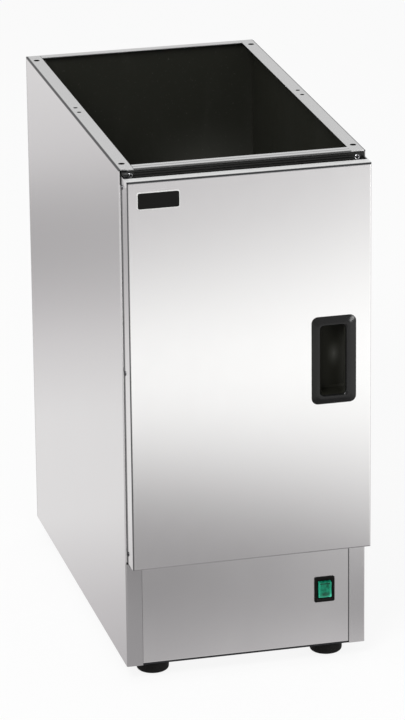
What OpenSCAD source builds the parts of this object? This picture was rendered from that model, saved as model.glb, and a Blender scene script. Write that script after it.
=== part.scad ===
// Hot cupboard: an open-topped heated pedestal with one pivot-hung door.
// Millimetres. The front faces -Y, +X is to the right as seen from the front, +Z is up.

/* [Cabinet] */
// Width over the side panels
body_w = 300; // [280:1:340]
// Depth from the front frame to the back panel
body_d = 520; // [480:1:560]
// Height without the feet
body_h = 630; // [610:1:680]
// Thickness of the cabinet sheet
sheet = 1.2; // [1:0.1:1.5]
// Outside radius of the cabinet folds
fold_r = 2; // [1.6:0.1:2.6]
// Width of the front returns of the side panels
return_w = 20; // [19:0.5:24]
// Width of the rear returns of the side panels
rear_return_w = 16; // [14:0.5:20]

/* [Open top] */
// Width of the side flanges
flange_w = 18; // [17:0.5:22]
// Depth of the back flange
back_flange_d = 12; // [10:0.5:16]
// Diameter of the corner fixing holes
corner_hole_d = 7; // [5:0.5:8]
// Inset of the fixing holes from the outside of the sides
hole_in = 9; // [8:0.5:11]
// Inset of the corner holes from the front and the back
corner_in = 23.5; // [20:0.5:40]
// Diameter of the middle fixing holes
mid_hole_d = 4.6; // [3:0.1:6]
// Distance between the two middle holes of a side
mid_pitch = 20.5; // [15:0.5:40]

/* [Front rail and seal strip] */
// Depth of the rail's top face
rail_d = 17; // [14:0.5:19]
// Height of the lip turned down behind the rail
rail_lip = 8; // [5:0.5:12]
// Height of the rail's bright nose above the strip
rail_nose = 2.2; // [1.8:0.1:4]
// Height of the black strip
strip_h = 16; // [14:0.5:20]
// Thickness of the black strip
strip_t = 2.4; // [2:0.1:3]
// Grooves along the strip
groove_count = 4; // [2:1:5]
// Width and depth of a groove
groove = 0.8; // [0.5:0.1:1]
// Inset of the strip's left screw from the outside of the cabinet
screw_in_left = 13.5; // [13.5:0.5:16]
// Inset of the strip's right screw from the outside of the cabinet
screw_in_right = 10.5; // [10.5:0.5:14]

/* [Plinth] */
// Height of the control fascia's top edge
fascia_h = 134; // [125:1:150]
// Height of the base pan's front hem
hem_h = 2.4; // [2.4:0.2:5]
// Depth of the folds behind the fascia
fascia_fold = 18; // [14:1:24]
// Height of the folded sides of the base pan
pan_side_h = 20; // [12:1:30]
// Height of the folded sides of the cavity floor
floor_side_h = 15; // [10:1:25]

/* [Feet] */
// Height of a foot
foot_h = 20; // [16:1:30]
// Diameter of a foot
foot_d = 40; // [30:1:44]
// Inset of the feet from the sides
foot_in_x = 40; // [30:1:60]
// Inset of the feet from the front and the back
foot_in_y = 35; // [30:1:60]
// Diameter of a foot's stud
stud_d = 8; // [6:1:10]

/* [Door] */
// Gap between the door's sides and the outside of the cabinet
door_inset = 2; // [1.5:0.5:4]
// Thickness of the door
door_t = 30; // [28:0.5:36]
// Gap between the door and the front frame
door_gap = 2.4; // [2.2:0.1:3]
// Gap between the fascia's top edge and the door
door_rise = 3.8; // [3.8:0.1:6]
// Drop of the door's top edge below the cabinet's top
door_drop = 6.7; // [6.5:0.1:8]
// Thickness of the door sheet
door_sheet = 1.2; // [1:0.1:1.4]
// Outside radius of the door's folds
door_r = 2; // [1.6:0.1:3]
// Depth of the returns along the door's top and bottom
door_top_d = 16; // [12:0.5:17]
// Set-back of the inner panel's edge from the door's ends
inner_in = 7; // [6:0.5:10]
// Inset of the side screws from the door's ends
side_screw_in = 12.5; // [12.5:0.5:20]

/* [Door hinge] */
// Distance of the pivot from the door's left face
pivot_in = 4.6; // [4.5:0.1:4.8]
// Distance of the pivot in front of the front frame
pivot_out = 8.5; // [8.5:0.1:9.5]
// Diameter of the pivot pins
pin_d = 4; // [3.6:0.1:4.2]
// Outside diameter of the bushes
bush_d = 6.4; // [6:0.1:6.4]
// Thickness of the bracket plate
bracket_t = 2.5; // [2:0.1:2.6]
// Gap between the brackets and the door's ends
arm_gap = 1.3; // [0.8:0.1:1.4]
// Thickness of the stile's end tabs, and their distance from the door's ends
tab_t = 4; // [3:0.5:4]

/* [Handle] */
// Width of the handle's face
handle_w = 55; // [48:1:60]
// Height of the handle's face
handle_h = 110; // [90:1:130]
// Width of the handle's recess
recess_w = 31; // [26:1:36]
// Height of the handle's recess
recess_h = 86; // [70:1:88]
// Depth of the handle behind the door's face
handle_d = 22; // [16:0.5:23]
// Height of the handle's face in front of the door
handle_rim = 3; // [2:0.5:4]
// Distance of the handle's middle from the door's right face
handle_in = 46.5; // [44:0.5:60]
// Height of the handle's middle above the door's middle
handle_rise = 2; // [0:0.5:10]

/* [Rocker switch] */
// Distance of the switch's middle from the right side
switch_in = 51.4; // [45:0.5:80]
// Height of the switch's middle above the cabinet's underside
switch_z = 75; // [55:1:85]
// Width of the bezel
bezel_w = 25.5; // [24:0.5:28]
// Height of the bezel
bezel_h = 33; // [29:0.5:34]
// Width of the rocker
rocker_w = 17; // [14:0.5:17]
// Radius of the rocker's ends about its pins
rocker_r = 10.9; // [9:0.1:11.5]

/* [Inside] */
// Height of the shelf runners above the cavity floor
runner_h = 265; // [200:1:320]
// Width of the runners' level legs
runner_w = 28; // [26:0.5:32]
// Gap between the shelf and the flanges that it passes when it lifts out
shelf_gap = 4; // [3:0.5:6]
// Diameter of the shelf's frame rod
rod_d = 6; // [5:0.5:8]
// Diameter of the shelf's wires
wire_d = 4; // [3:0.5:5]
// Wires along the shelf
wire_count = 9; // [5:1:11]
// Diameter of the heating element's sheath
element_d = 8; // [6.5:0.5:9]
// Distance between the runs of the element
element_pitch = 50; // [40:1:54]
// Height of the element above the cavity floor
element_z = 22; // [16:1:28]
// Height of the guard over the element
guard_h = 48; // [42:1:70]
// Thickness of the liners
liner_t = 0.8; // [0.6:0.1:1.2]

/* [Cable gland] */
// Distance of the gland from the right side
gland_in = 50; // [40:1:100]
// Height of the gland above the cabinet's underside
gland_z = 60; // [45:1:90]
// Diameter of the cable that it takes
cable_d = 9; // [6:0.5:10]
// Reach of the gland behind the back panel
gland_out = 22; // [18:1:30]

/* [Fits] */
// Gap at the seams between sheets
seam = 0.3; // [0.2:0.1:0.4]
// Radial clearance of pins in their holes
pin_fit = 0.05; // [0.02:0.01:0.08]
// Gap round pieces that pass or meet each other when something moves
clear = 0.5; // [0.4:0.1:0.6]

/* [Hidden] */
$fn = 48;

// Colours
steel = "#c8c7c4";
bright = "#b9bbbd";
enamel = "#1e1f1c";
black = "#181818";
brass = "#b5953f";
ceramic = "#e4ded2";
wool = "#c9b778";
copper_red = "#a0402c";
green = "#1f8a62";

// Cabinet faces, in the cabinet's own frame: front frame at y = 0, underside of the base pan at z = 0
side_in = body_w / 2 - sheet;
side_d = body_d - sheet;
top_in = body_w / 2 - flange_w;
return_in = body_w / 2 - return_w;
floor_z = fascia_h - sheet;
hole_x = body_w / 2 - hole_in;
strip_top = body_h - rail_nose;
strip_z = strip_top - strip_h;
strip_half = side_in - seam;
rail_face = strip_t + sheet;
strip_screw_drop = 5.8;
strip_screw_z = strip_top - strip_screw_drop;
strip_screw_x = [-body_w / 2 + screw_in_left, body_w / 2 - screw_in_right];
strip_screw_r = 2;
strip_head_r = 3.6;
edge_break = 0.4;
past = 1;

// Door faces
door_w = body_w - 2 * door_inset;
door_l = -door_w / 2;
door_in = door_w / 2 - door_sheet;
door_front = -(door_gap + door_t);
door_back = -door_gap;
door_z = fascia_h + door_rise;
door_top = body_h - door_drop;
door_h = door_top - door_z;
inner_y = door_back - door_sheet;
handle_x = door_w / 2 - handle_in;
door_mid_z = (door_z + door_top) / 2;
handle_z = door_mid_z + handle_rise;
recess_draft = [6, 8];
recess_open = 2;
recess_r = 5;
handle_floor = 2;
handle_r = 8;
handle_bevel = [8, 6];
handle_body_in = [4, 5];
handle_body_r = 6;
finger_in = [5, 6];
finger_front = -4;
plate_t = 0.2;

// Hinge
pivot_x = door_l + pivot_in;
pivot_y = -pivot_out;
pin_r = pin_d / 2;
pin_end = 0.5;
bush_r = bush_d / 2;
arm_rim = 0.2;
collar_gap = 0.3;
arm_half = bush_r + arm_rim;
collar_r = bush_r - collar_gap;
upper_arm_z = door_top + arm_gap;
lower_arm_z = door_z - arm_gap;
leg_h = 12;
leg_w = 16;
stile_t = 1.2;
stile_w = 12;
stile_front = 24;
inner_fold = door_t - 2 * door_sheet - door_r;
tab_half = 5;
side_screw_y = -7;
side_screw_r = 2;
side_screw_l = 4;
side_head_h = 0.8;
side_screw_z = [door_z + side_screw_in, door_mid_z, door_top - side_screw_in];

// Catch and buffers
catch_z = door_mid_z;
catch_half_h = 18;
catch_in = [2, 4];
catch_x = [return_in + catch_in[0], side_in - catch_in[1]];
catch_plate_t = 1;
catch_plate_rim = 1;
catch_face = -door_gap + catch_plate_t + clear;
catch_back = 9;
catch_ear = 8;
catch_ear_t = 2.5;
buffer_in = 4.6;
buffer_x = body_w / 2 - buffer_in;
buffer_r = 2.4;
buffer_stem_r = 1.4;
buffer_rise = 8;
buffer_z = [door_z + buffer_rise, strip_z + buffer_rise];

// Switch
switch_x = body_w / 2 - switch_in;
bezel_t = 2;
bezel_r = 2;
switch_wall = 2.2;
switch_depth = 24;
rocker_pin_r = 1.5;
rocker_pin_y = 1;
rocker_gap = 0.3;
rocker_pin_l = 1.5;
rocker_out = 3.2;
rocker_dish = 1;
rocker_back = 7;
pocket_half_w = rocker_w / 2 + rocker_gap;
pocket_half_h = rocker_r + rocker_gap;
blade_pitch = 8;
blade_dz = [-blade_pitch, 0, blade_pitch];
blade_l = 9;
blade_w = 6;
blade_t = 0.8;

// Inside
liner_front = 10;
liner_drop = 1;
liner_y = [liner_front, side_d - sheet - liner_t];
liner_top = body_h - sheet - liner_drop;
liner_in = side_in - liner_t;
runner_z = floor_z + runner_h;
runner_in = [20, 22];
runner_y = [runner_in[0], body_d - runner_in[1]];
runner_leg = 12;
runner_stop = 10;
shelf_half = top_in - shelf_gap;
shelf_y = [runner_y[0] + shelf_gap, runner_y[1] - sheet - shelf_gap];
shelf_corner = 15;
weld = 0.8;
element_x = [for (i = [0:3]) (i - 1.5) * element_pitch];
element_in = [80, 100];
element_y = [element_in[0], body_d - element_in[1]];
element_r = element_d / 2;
element_axis = floor_z + element_z;
elbow_r = 14;
terminal_y = element_y[1] + elbow_r;
terminal_drop = 28;
terminal_low = floor_z - terminal_drop;
element_pin_l = 12;
fitting_r = 6;
fitting_h = 5;
fitting_flange = 3;
support_in = [70, 80];
support_y = [element_y[0] + support_in[0], element_y[1] - support_in[1]];
support_end = 12;
support_foot = 14;
guard_side = 26;
guard_half = element_x[3] + guard_side;
guard_in = [26, 28];
guard_y = [guard_in[0], body_d - guard_in[1]];
guard_foot = 12;
guard_screw_x = guard_half + guard_foot / 2;
guard_screw_in = 34;
guard_screw_y = [guard_y[0] + guard_screw_in, guard_y[1] - guard_screw_in];
guard_screw_l = 6;
slot_w = 8;
slot_rows = 7;
slot_columns = 9;
thermostat_front = 10;
thermostat_at = [0, body_d / 2 - thermostat_front];
thermostat_h = 20;
thermostat_flange = [34, 17];
thermostat_flange_t = 1.5;
thermostat_corner = 6;
thermostat_r = 8;
thermostat_can = 12;
tag_out = 5;
tag_w = 6;
tag_t = 0.8;

// Electrics below the cavity floor
block_in = 75;
block_at = [body_w / 2 - gland_in, body_d - block_in];
block_w = 46;
block_d = 20;
block_h = 18;
pole_pitch = 14;
pole_r = 2.5;
pole_depth = 8;
pole_screw_r = 3;
pole_screw_y = 4;
pole_groove = [2, 5];
earth_in = [20, 100];
earth_at = [body_w / 2 - earth_in[0], body_d - earth_in[1]];
earth_r = 3;
earth_h = 18;
earth_nut_r = 5.5;
earth_nut_h = 5;
gland_x = body_w / 2 - gland_in;
gland_thread_r = 9;
gland_thread_l = 10;
gland_hex_r = 14;
gland_hex_h = 7;
gland_cap_r = 11.5;
gland_mouth_r = 8;
gland_taper = 6;
gland_nut_h = 5;
wire_r = 1.4;
wire_lead = 14;
wire_sag = 42;
wire_bow = 7;
foot_x = body_w / 2 - foot_in_x;
foot_y = [foot_in_y, body_d - foot_in_y];
stud_r = stud_d / 2;
nut_h = 6.5;
stud_past = 3;
foot_chamfer = 2;
foot_pad_h = 14;
foot_collar_in = 5;
fascia_screw_in = 65;
fascia_screw_x = [fascia_screw_in - body_w / 2, body_w / 2 - fascia_screw_in];
fascia_screw_y = 11;
back_screw_x = body_w / 2 - rear_return_w / 2;
back_screw_in = 40;
back_screw_z = [back_screw_in, body_h / 2, body_h - back_screw_in];
back_screw_l = 2 * sheet;
small_screw_r = 1.8;

// The origin is on the floor, in the middle of the whole part
front_y = -(body_d + gland_out + door_front - handle_rim) / 2;

// Moves the cabinet's own frame to the part's origin
module in_cabinet() {
  translate([0, front_y, foot_h]) children();
}

// Box between two corners
module block(from, to) {
  translate(from) cube(to - from);
}

// Rectangle with round corners, from the origin
module rounded_rect(w, h, r) {
  translate([r, 0]) square([w - 2 * r, h]);
  translate([0, r]) square([w, h - 2 * r]);
  for (x = [r, w - r], y = [r, h - r]) translate([x, y]) circle(r);
}

// The same, about the origin
module centred_rect(w, h, r) {
  translate([-w / 2, -h / 2]) rounded_rect(w, h, r);
}

// Profile in Y and Z, drawn along X
module along_x(x0, x1) {
  translate([x0, 0, 0]) rotate([90, 0, 90]) linear_extrude(x1 - x0) children();
}

// Profile in X and Z, drawn along Y
module along_y(y0, y1) {
  translate([0, y1, 0]) rotate([90, 0, 0]) linear_extrude(y1 - y0) children();
}

// Waste outside a round of radius r, in the corner at the origin
module corner_waste(r) {
  difference() {
    translate([-past, -past]) square(r + past);
    translate([r, r]) circle(r);
  }
}

// Cutter for a round along Y at x, z; the metal lies below it and towards side
module round_along_y(x, z, side, r) {
  translate([x, 0, z]) along_y(-past, body_d + past)
    mirror([side < 0 ? 1 : 0, 0]) mirror([0, 1]) corner_waste(r);
}

// Cutter for a round along X at y, z; the metal lies below it and towards side
module round_along_x(y, z, side, r) {
  translate([0, y, z]) along_x(-body_w, body_w)
    mirror([side < 0 ? 1 : 0, 0]) mirror([0, 1]) corner_waste(r);
}

// Cylinder along +Y from a point
module rod_y(at, r, l) {
  translate(at) rotate([-90, 0, 0]) cylinder(r = r, h = l);
}

// Cylinder along +X from a point
module rod_x(at, r, l) {
  translate(at) rotate([0, 90, 0]) cylinder(r = r, h = l);
}

// Pan-head screw, head above z = 0 and shank below
module pan_screw(r, l) {
  translate([0, 0, -l]) cylinder(r = r, h = l);
  difference() {
    intersection() {
      cylinder(r = 1.9 * r, h = 1.2 * r);
      translate([0, 0, -2.2 * r]) sphere(r = 3.4 * r);
    }
    for (a = [0, 90]) rotate(a) translate([-r, -0.2 * r, 0.6 * r]) cube([2 * r, 0.4 * r, r]);
  }
}

// Countersunk screw, head flush with z = 0
module flush_screw(r, head_r, l) {
  difference() {
    union() {
      translate([0, 0, -l]) cylinder(r = r, h = l);
      flush_head(r, head_r);
    }
    for (a = [45, 135]) rotate(a)
      translate([-1.1 * r, -0.25 * r, -0.7 * r]) cube([2.2 * r, 0.5 * r, r]);
  }
}

// Cone of a countersunk head
module flush_head(r, head_r) {
  translate([0, 0, r - head_r]) cylinder(r1 = r, r2 = head_r, h = head_r - r);
}

// Plan of a side panel: wall with its front and rear returns
module side_plan() {
  difference() {
    intersection() {
      translate([-body_w / 2, 0]) rounded_rect(body_w, side_d, fold_r);
      translate([-body_w / 2, 0]) square([return_w, side_d]);
    }
    translate([-side_in, sheet]) square([return_w, side_d - 2 * sheet]);
    translate([-body_w / 2 + rear_return_w, side_d / 2]) square([return_w, side_d]);
  }
}

// Folded side panel on the left, before the cut-outs of its own side
module side_shell() {
  difference() {
    union() {
      difference() {
        linear_extrude(body_h) side_plan();
        // The front return stops below the seal strip
        block([-side_in, -past, strip_z - seam], [0, sheet + past, body_h + past]);
      }
      block([-body_w / 2, 0, body_h - sheet], [-top_in, side_d, body_h]);
    }
    round_along_y(-body_w / 2, body_h, 1, fold_r);
    round_along_y(-top_in, body_h, -1, edge_break);
    for (y = [corner_in, body_d - corner_in])
      translate([-hole_x, y, body_h - sheet - past]) cylinder(d = corner_hole_d, h = sheet + 2 * past);
    for (s = [-1, 1])
      translate([-hole_x, (body_d + s * mid_pitch) / 2, body_h - sheet - past])
        cylinder(d = mid_hole_d, h = sheet + 2 * past);
    for (z = back_screw_z)
      rod_y([-back_screw_x, side_d - sheet - past, z], small_screw_r, sheet + 2 * past);
  }
}

module left_side_panel() {
  color(steel) in_cabinet() difference() {
    side_shell();
    // Slot for the arm of the lower hinge bracket
    block([-side_in, -past, lower_arm_z - bracket_t - seam],
          [pivot_x + arm_half + seam, sheet + past, lower_arm_z + seam]);
  }
}

module right_side_panel() {
  color(steel) in_cabinet() difference() {
    mirror([1, 0, 0]) side_shell();
    block([catch_x[0], -past, catch_z - catch_half_h],
          [catch_x[1], sheet + past, catch_z + catch_half_h]);
    rod_y([buffer_x, -past, buffer_z[0]], buffer_stem_r, sheet + 2 * past);
  }
}

module back_panel() {
  flange_half = top_in - seam;
  color(steel) in_cabinet() difference() {
    union() {
      block([-body_w / 2, side_d, 0], [body_w / 2, body_d, body_h]);
      block([-flange_half, body_d - back_flange_d, body_h - sheet], [flange_half, body_d, body_h]);
    }
    round_along_x(body_d - back_flange_d, body_h, 1, edge_break);
    round_along_x(body_d, body_h, -1, sheet - past / 5);
    rod_y([gland_x, side_d - past, gland_z], gland_thread_r, sheet + 2 * past);
    for (s = [-1, 1], z = back_screw_z)
      rod_y([s * back_screw_x, side_d - past, z], small_screw_r, sheet + 2 * past);
  }
}

module back_panel_screws() {
  color(bright) in_cabinet() for (s = [-1, 1], z = back_screw_z)
    translate([s * back_screw_x, body_d, z]) rotate([-90, 0, 0]) pan_screw(small_screw_r, back_screw_l);
}

module base_pan() {
  back = side_d - sheet;
  color(steel) in_cabinet() difference() {
    union() {
      block([-side_in, sheet, 0], [side_in, back, sheet]);
      for (x = [-side_in, side_in - sheet]) block([x, sheet, 0], [x + sheet, back, pan_side_h]);
      block([-side_in, back - sheet, 0], [side_in, back, pan_side_h]);
      // Front hem that carries the fascia, one sheet behind its face
      block([-return_in + seam, sheet, 0], [return_in - seam, 2 * sheet, hem_h]);
      block([-return_in + seam, sheet, hem_h - sheet], [return_in - seam, fascia_fold, hem_h]);
    }
    for (s = [-1, 1], y = foot_y)
      translate([s * foot_x, y, -past]) cylinder(r = stud_r, h = sheet + 2 * past);
    for (x = fascia_screw_x)
      translate([x, fascia_screw_y, -past]) cylinder(r = small_screw_r, h = hem_h + 2 * past);
    translate([earth_at[0], earth_at[1], -past]) cylinder(r = earth_r, h = sheet + 2 * past);
  }
}

module fascia_screws() {
  color(bright) in_cabinet() for (x = fascia_screw_x)
    translate([x, fascia_screw_y, 0]) mirror([0, 0, 1])
      pan_screw(small_screw_r, hem_h + sheet + small_screw_r);
}

module front_top_rail() {
  top_half = top_in - seam;
  color(steel) in_cabinet() difference() {
    union() {
      block([-top_half, 0, body_h - sheet], [top_half, rail_d, body_h]);
      block([-top_half, rail_d - sheet, body_h - rail_lip], [top_half, rail_d, body_h]);
      // Nose over the strip, then the face behind it
      block([-top_half, 0, strip_top], [top_half, sheet, body_h]);
      block([-top_half, 0, strip_top], [top_half, rail_face, strip_top + sheet]);
      block([-top_half, strip_t, strip_z], [top_half, rail_face, body_h]);
      block([-side_in, strip_t, strip_z], [side_in, rail_face, body_h - sheet - seam]);
    }
    round_along_x(0, body_h, 1, sheet);
    round_along_x(rail_d, body_h, -1, sheet);
    hinge_arm_notch();
    for (x = strip_screw_x) rod_y([x, -past, strip_screw_z], strip_screw_r, rail_face + 2 * past);
    rod_y([buffer_x, -past, buffer_z[1]], buffer_stem_r, rail_face + 2 * past);
  }
}

// Way for the arm of the upper hinge bracket through the strip and the rail
module hinge_arm_notch() {
  block([-body_w / 2, -past, upper_arm_z - seam],
        [pivot_x + arm_half + seam, rail_face + past, body_h - sheet]);
}

module seal_strip() {
  pitch = strip_h / (groove_count + 1);
  color(black) in_cabinet() difference() {
    block([-strip_half, 0, strip_z], [strip_half, strip_t, strip_top]);
    for (i = [1:groove_count])
      block([-body_w / 2, -past, strip_z + i * pitch - groove / 2],
            [body_w / 2, groove, strip_z + i * pitch + groove / 2]);
    hinge_arm_notch();
    for (x = strip_screw_x) {
      rod_y([x, -past, strip_screw_z], strip_screw_r, strip_t + 2 * past);
      translate([x, 0, strip_screw_z]) rotate([90, 0, 0]) flush_head(strip_screw_r, strip_head_r);
    }
    rod_y([buffer_x, -past, buffer_z[1]], buffer_stem_r, strip_t + 2 * past);
  }
}

module strip_screws() {
  color(bright) in_cabinet() for (x = strip_screw_x)
    translate([x, 0, strip_screw_z]) rotate([90, 0, 0])
      flush_screw(strip_screw_r, strip_head_r, rail_face + bracket_t);
}

module cavity_floor() {
  low = floor_z - sheet;
  back = side_d - sheet;
  color(enamel) in_cabinet() difference() {
    union() {
      block([-side_in, sheet, low], [side_in, back, floor_z]);
      for (x = [-side_in, side_in - sheet])
        block([x, sheet, low - floor_side_h], [x + sheet, back, floor_z]);
      block([-side_in, back - sheet, low - floor_side_h], [side_in, back, floor_z]);
    }
    for (i = [0, 3])
      translate([element_x[i], terminal_y, low - past]) cylinder(r = fitting_r, h = sheet + 2 * past);
    for (s = [-1, 1], y = guard_screw_y)
      translate([s * guard_screw_x, y, low - past]) cylinder(r = small_screw_r, h = sheet + 2 * past);
  }
}

module control_fascia() {
  half = return_in - seam;
  color(steel) in_cabinet() difference() {
    union() {
      block([-half, 0, hem_h], [half, sheet, fascia_h]);
      block([-half, 0, floor_z], [half, fascia_fold, fascia_h]);
      block([-half, 0, hem_h], [half, fascia_fold, hem_h + sheet]);
    }
    round_along_x(0, fascia_h, 1, sheet);
    translate([0, 0, hem_h]) along_x(-body_w, body_w) corner_waste(sheet);
    translate([switch_x, 0, switch_z])
      block([-pocket_half_w - switch_wall, -past, -pocket_half_h - switch_wall],
            [pocket_half_w + switch_wall, sheet + past, pocket_half_h + switch_wall]);
    for (x = fascia_screw_x)
      translate([x, fascia_screw_y, 0]) cylinder(r = small_screw_r, h = 2 * hem_h);
  }
}

// Black liner of the left wall
module side_liner() {
  block([-side_in, liner_y[0], floor_z], [-liner_in, liner_y[1], liner_top]);
}

module left_liner() {
  color(enamel) in_cabinet() side_liner();
}

module right_liner() {
  color(enamel) in_cabinet() mirror([1, 0, 0]) side_liner();
}

module rear_liner() {
  color(enamel) in_cabinet()
    block([-side_in, liner_y[1], floor_z], [side_in, liner_y[1] + liner_t, liner_top]);
}

// Angle on the left wall that carries the shelf, with a stop at its back end
module runner() {
  block([-liner_in, runner_y[0], runner_z - runner_leg], [-liner_in + sheet, runner_y[1], runner_z]);
  block([-liner_in, runner_y[0], runner_z - sheet], [-liner_in + runner_w, runner_y[1], runner_z]);
  block([-liner_in, runner_y[1] - sheet, runner_z - sheet],
        [-liner_in + runner_w, runner_y[1], runner_z + runner_stop]);
}

module left_runner() {
  color(bright) in_cabinet() runner();
}

module right_runner() {
  color(bright) in_cabinet() mirror([1, 0, 0]) runner();
}

// Half ring of the element, from x0 to x0 + pitch, bulging to the front (-1) or the back (1)
module element_bend(x0, y, way) {
  translate([x0 + element_pitch / 2, y, element_axis]) rotate(way > 0 ? 0 : 180)
    rotate_extrude(angle = 180) translate([element_pitch / 2, 0]) circle(element_r);
}

// Bend of an element's end from level to straight down
module element_end(x) {
  translate([x, element_y[1], element_axis - elbow_r]) rotate([90, 0, 90])
    rotate_extrude(angle = 90) translate([elbow_r, 0]) circle(element_r);
  translate([x, terminal_y, terminal_low])
    cylinder(r = element_r, h = element_axis - elbow_r - terminal_low);
  translate([x, terminal_y, terminal_low - element_pin_l])
    cylinder(r = element_r / 2, h = element_pin_l);
}

module heating_element() {
  color(bright) in_cabinet() {
    for (x = element_x)
      rod_y([x, element_y[0], element_axis], element_r, element_y[1] - element_y[0]);
    element_bend(element_x[0], element_y[0], -1);
    element_bend(element_x[1], element_y[1], 1);
    element_bend(element_x[2], element_y[0], -1);
    for (i = [0, 3]) element_end(element_x[i]);
  }
}

// Fittings that hold the element's ends in the cavity floor
module element_nuts() {
  color(brass) in_cabinet() for (i = [0, 3]) translate([element_x[i], terminal_y, 0]) difference() {
    union() {
      for (z = [floor_z, floor_z - sheet - fitting_h])
        translate([0, 0, z]) cylinder(r = fitting_r + fitting_flange, h = fitting_h, $fn = 6);
      translate([0, 0, floor_z - sheet - past]) cylinder(r = fitting_r, h = sheet + 2 * past);
    }
    translate([0, 0, floor_z - 2 * fitting_h]) cylinder(r = element_r, h = 4 * fitting_h);
  }
}

// Notched strips that the element's runs lie in
module element_supports() {
  half = element_x[3] + support_end;
  color(bright) in_cabinet() for (y = support_y) difference() {
    union() {
      block([-half, y, floor_z], [half, y + sheet, element_axis]);
      block([-half, y, floor_z], [half, y + support_foot, floor_z + sheet]);
    }
    for (x = element_x) rod_y([x, y - past, element_axis], element_r, sheet + 2 * past);
  }
}

// Rounded slot along Y, about the origin
module slot_plan(w, l) {
  square([w, l - w], center = true);
  for (s = [-1, 1]) translate([0, s * (l - w) / 2]) circle(w / 2);
}

// Slotted cover over the element, on two feet
module element_guard() {
  top = floor_z + guard_h;
  l = guard_y[1] - guard_y[0];
  row = l / slot_rows;
  column = 2 * guard_half / slot_columns;
  color(enamel) in_cabinet() difference() {
    union() {
      translate([0, 0, top - sheet]) linear_extrude(sheet) difference() {
        translate([-guard_half, guard_y[0]]) square([2 * guard_half, l]);
        for (i = [0:slot_columns - 1], j = [0:slot_rows - 1])
          translate([-guard_half + (i + 0.5) * column, guard_y[0] + (j + 0.5) * row])
            slot_plan(slot_w, row - 2 * slot_w);
      }
      for (s = [0, 1]) mirror([s, 0, 0]) {
        block([guard_half - sheet, guard_y[0], floor_z], [guard_half, guard_y[1], top]);
        block([guard_half - sheet, guard_y[0], floor_z],
              [guard_half + guard_foot, guard_y[1], floor_z + sheet]);
      }
    }
    for (s = [-1, 1], y = guard_screw_y)
      translate([s * guard_screw_x, y, floor_z - past])
        cylinder(r = small_screw_r, h = sheet + 2 * past);
  }
}

module guard_screws() {
  color(bright) in_cabinet() for (s = [-1, 1], y = guard_screw_y)
    translate([s * guard_screw_x, y, floor_z + sheet]) pan_screw(small_screw_r, guard_screw_l);
}

// Fixed-temperature disc thermostat under the cavity floor
module thermostat() {
  tag = [tag_t, tag_w, 0] / 2;
  color(ceramic) in_cabinet() translate([thermostat_at[0], thermostat_at[1], floor_z - sheet]) {
    translate([0, 0, -thermostat_flange_t]) linear_extrude(thermostat_flange_t)
      centred_rect(thermostat_flange[0], thermostat_flange[1], thermostat_corner);
    translate([0, 0, -thermostat_can]) cylinder(r = thermostat_r, h = thermostat_can - past);
    for (s = [-1, 1])
      block([s * tag_out, 0, -thermostat_h] - tag, [s * tag_out, 0, past - thermostat_can] + tag);
  }
}

// Three-pole block for the supply
module terminal_block() {
  color(ceramic) in_cabinet() translate([block_at[0], block_at[1], sheet]) difference() {
    block([-block_w / 2, -block_d / 2, 0], [block_w / 2, block_d / 2, block_h]);
    for (i = [-1:1]) {
      rod_y([i * pole_pitch, block_d / 2 - pole_depth, block_h / 2], pole_r, block_d);
      translate([i * pole_pitch, pole_screw_y, block_h / 2]) cylinder(r = pole_screw_r, h = block_h);
    }
    for (i = [-0.5, 0.5])
      block([i * pole_pitch - pole_groove[0] / 2, -block_d, block_h - pole_groove[1]],
            [i * pole_pitch + pole_groove[0] / 2, block_d, block_h + past]);
  }
}

module earth_stud() {
  color(brass) in_cabinet() translate([earth_at[0], earth_at[1], 0]) {
    cylinder(r = earth_r, h = earth_h);
    translate([0, 0, sheet]) cylinder(r = earth_nut_r, h = earth_nut_h, $fn = 6);
  }
}

// Unit vector
function unit(v) = v / norm(v);

// Point between p[i] and p[i + 1] on a smooth curve through the points p
function curve_point(p, i, t) =
  let (a = p[max(i - 1, 0)], b = p[i], c = p[i + 1], d = p[min(i + 2, len(p) - 1)])
  (2 * b + (c - a) * t + (2 * a - 5 * b + 4 * c - d) * t * t + (3 * b - a - 3 * c + d) * t * t * t) / 2;

// Smooth curve through the points p, in n steps between each two
function curve(p, n) =
  concat([for (i = [0:len(p) - 2], k = [0:n - 1]) curve_point(p, i, k / n)], [p[len(p) - 1]]);

// Straight start of a wire at the point p, and straight end at it
function lead(p, v) = [p, p + v / 2, p + v];
function tail(p, v) = [p + v, p + v / 2, p];

// Direction of a path at its point i
function heading(path, i) = unit(path[min(i + 1, len(path) - 1)] - path[max(i - 1, 0)]);

// Ring of points round a path's point i, turned from a direction that no wire runs along
function ring(path, i, r, sides) =
  let (t = heading(path, i), u = unit(cross(t, [2, 1, 0.7])), v = cross(t, u))
  [for (s = [0:sides - 1]) path[i] + r * (cos(360 * s / sides) * u + sin(360 * s / sides) * v)];

// Round tube along a path
module tube(path, r, sides) {
  last = (len(path) - 1) * sides;
  points = [for (i = [0:len(path) - 1]) each ring(path, i, r, sides)];
  walls = [for (i = [0:sides:last - 1], s = [0:sides - 1])
    let (a = i + s, b = i + (s + 1) % sides)
    each [[a, a + sides, b + sides], [a, b + sides, b]]];
  start = [for (s = [1:sides - 2]) [0, s, s + 1]];
  end = [for (s = [1:sides - 2]) [last, last + s + 1, last + s]];
  polyhedron(points, concat(walls, start, end));
}

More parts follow.
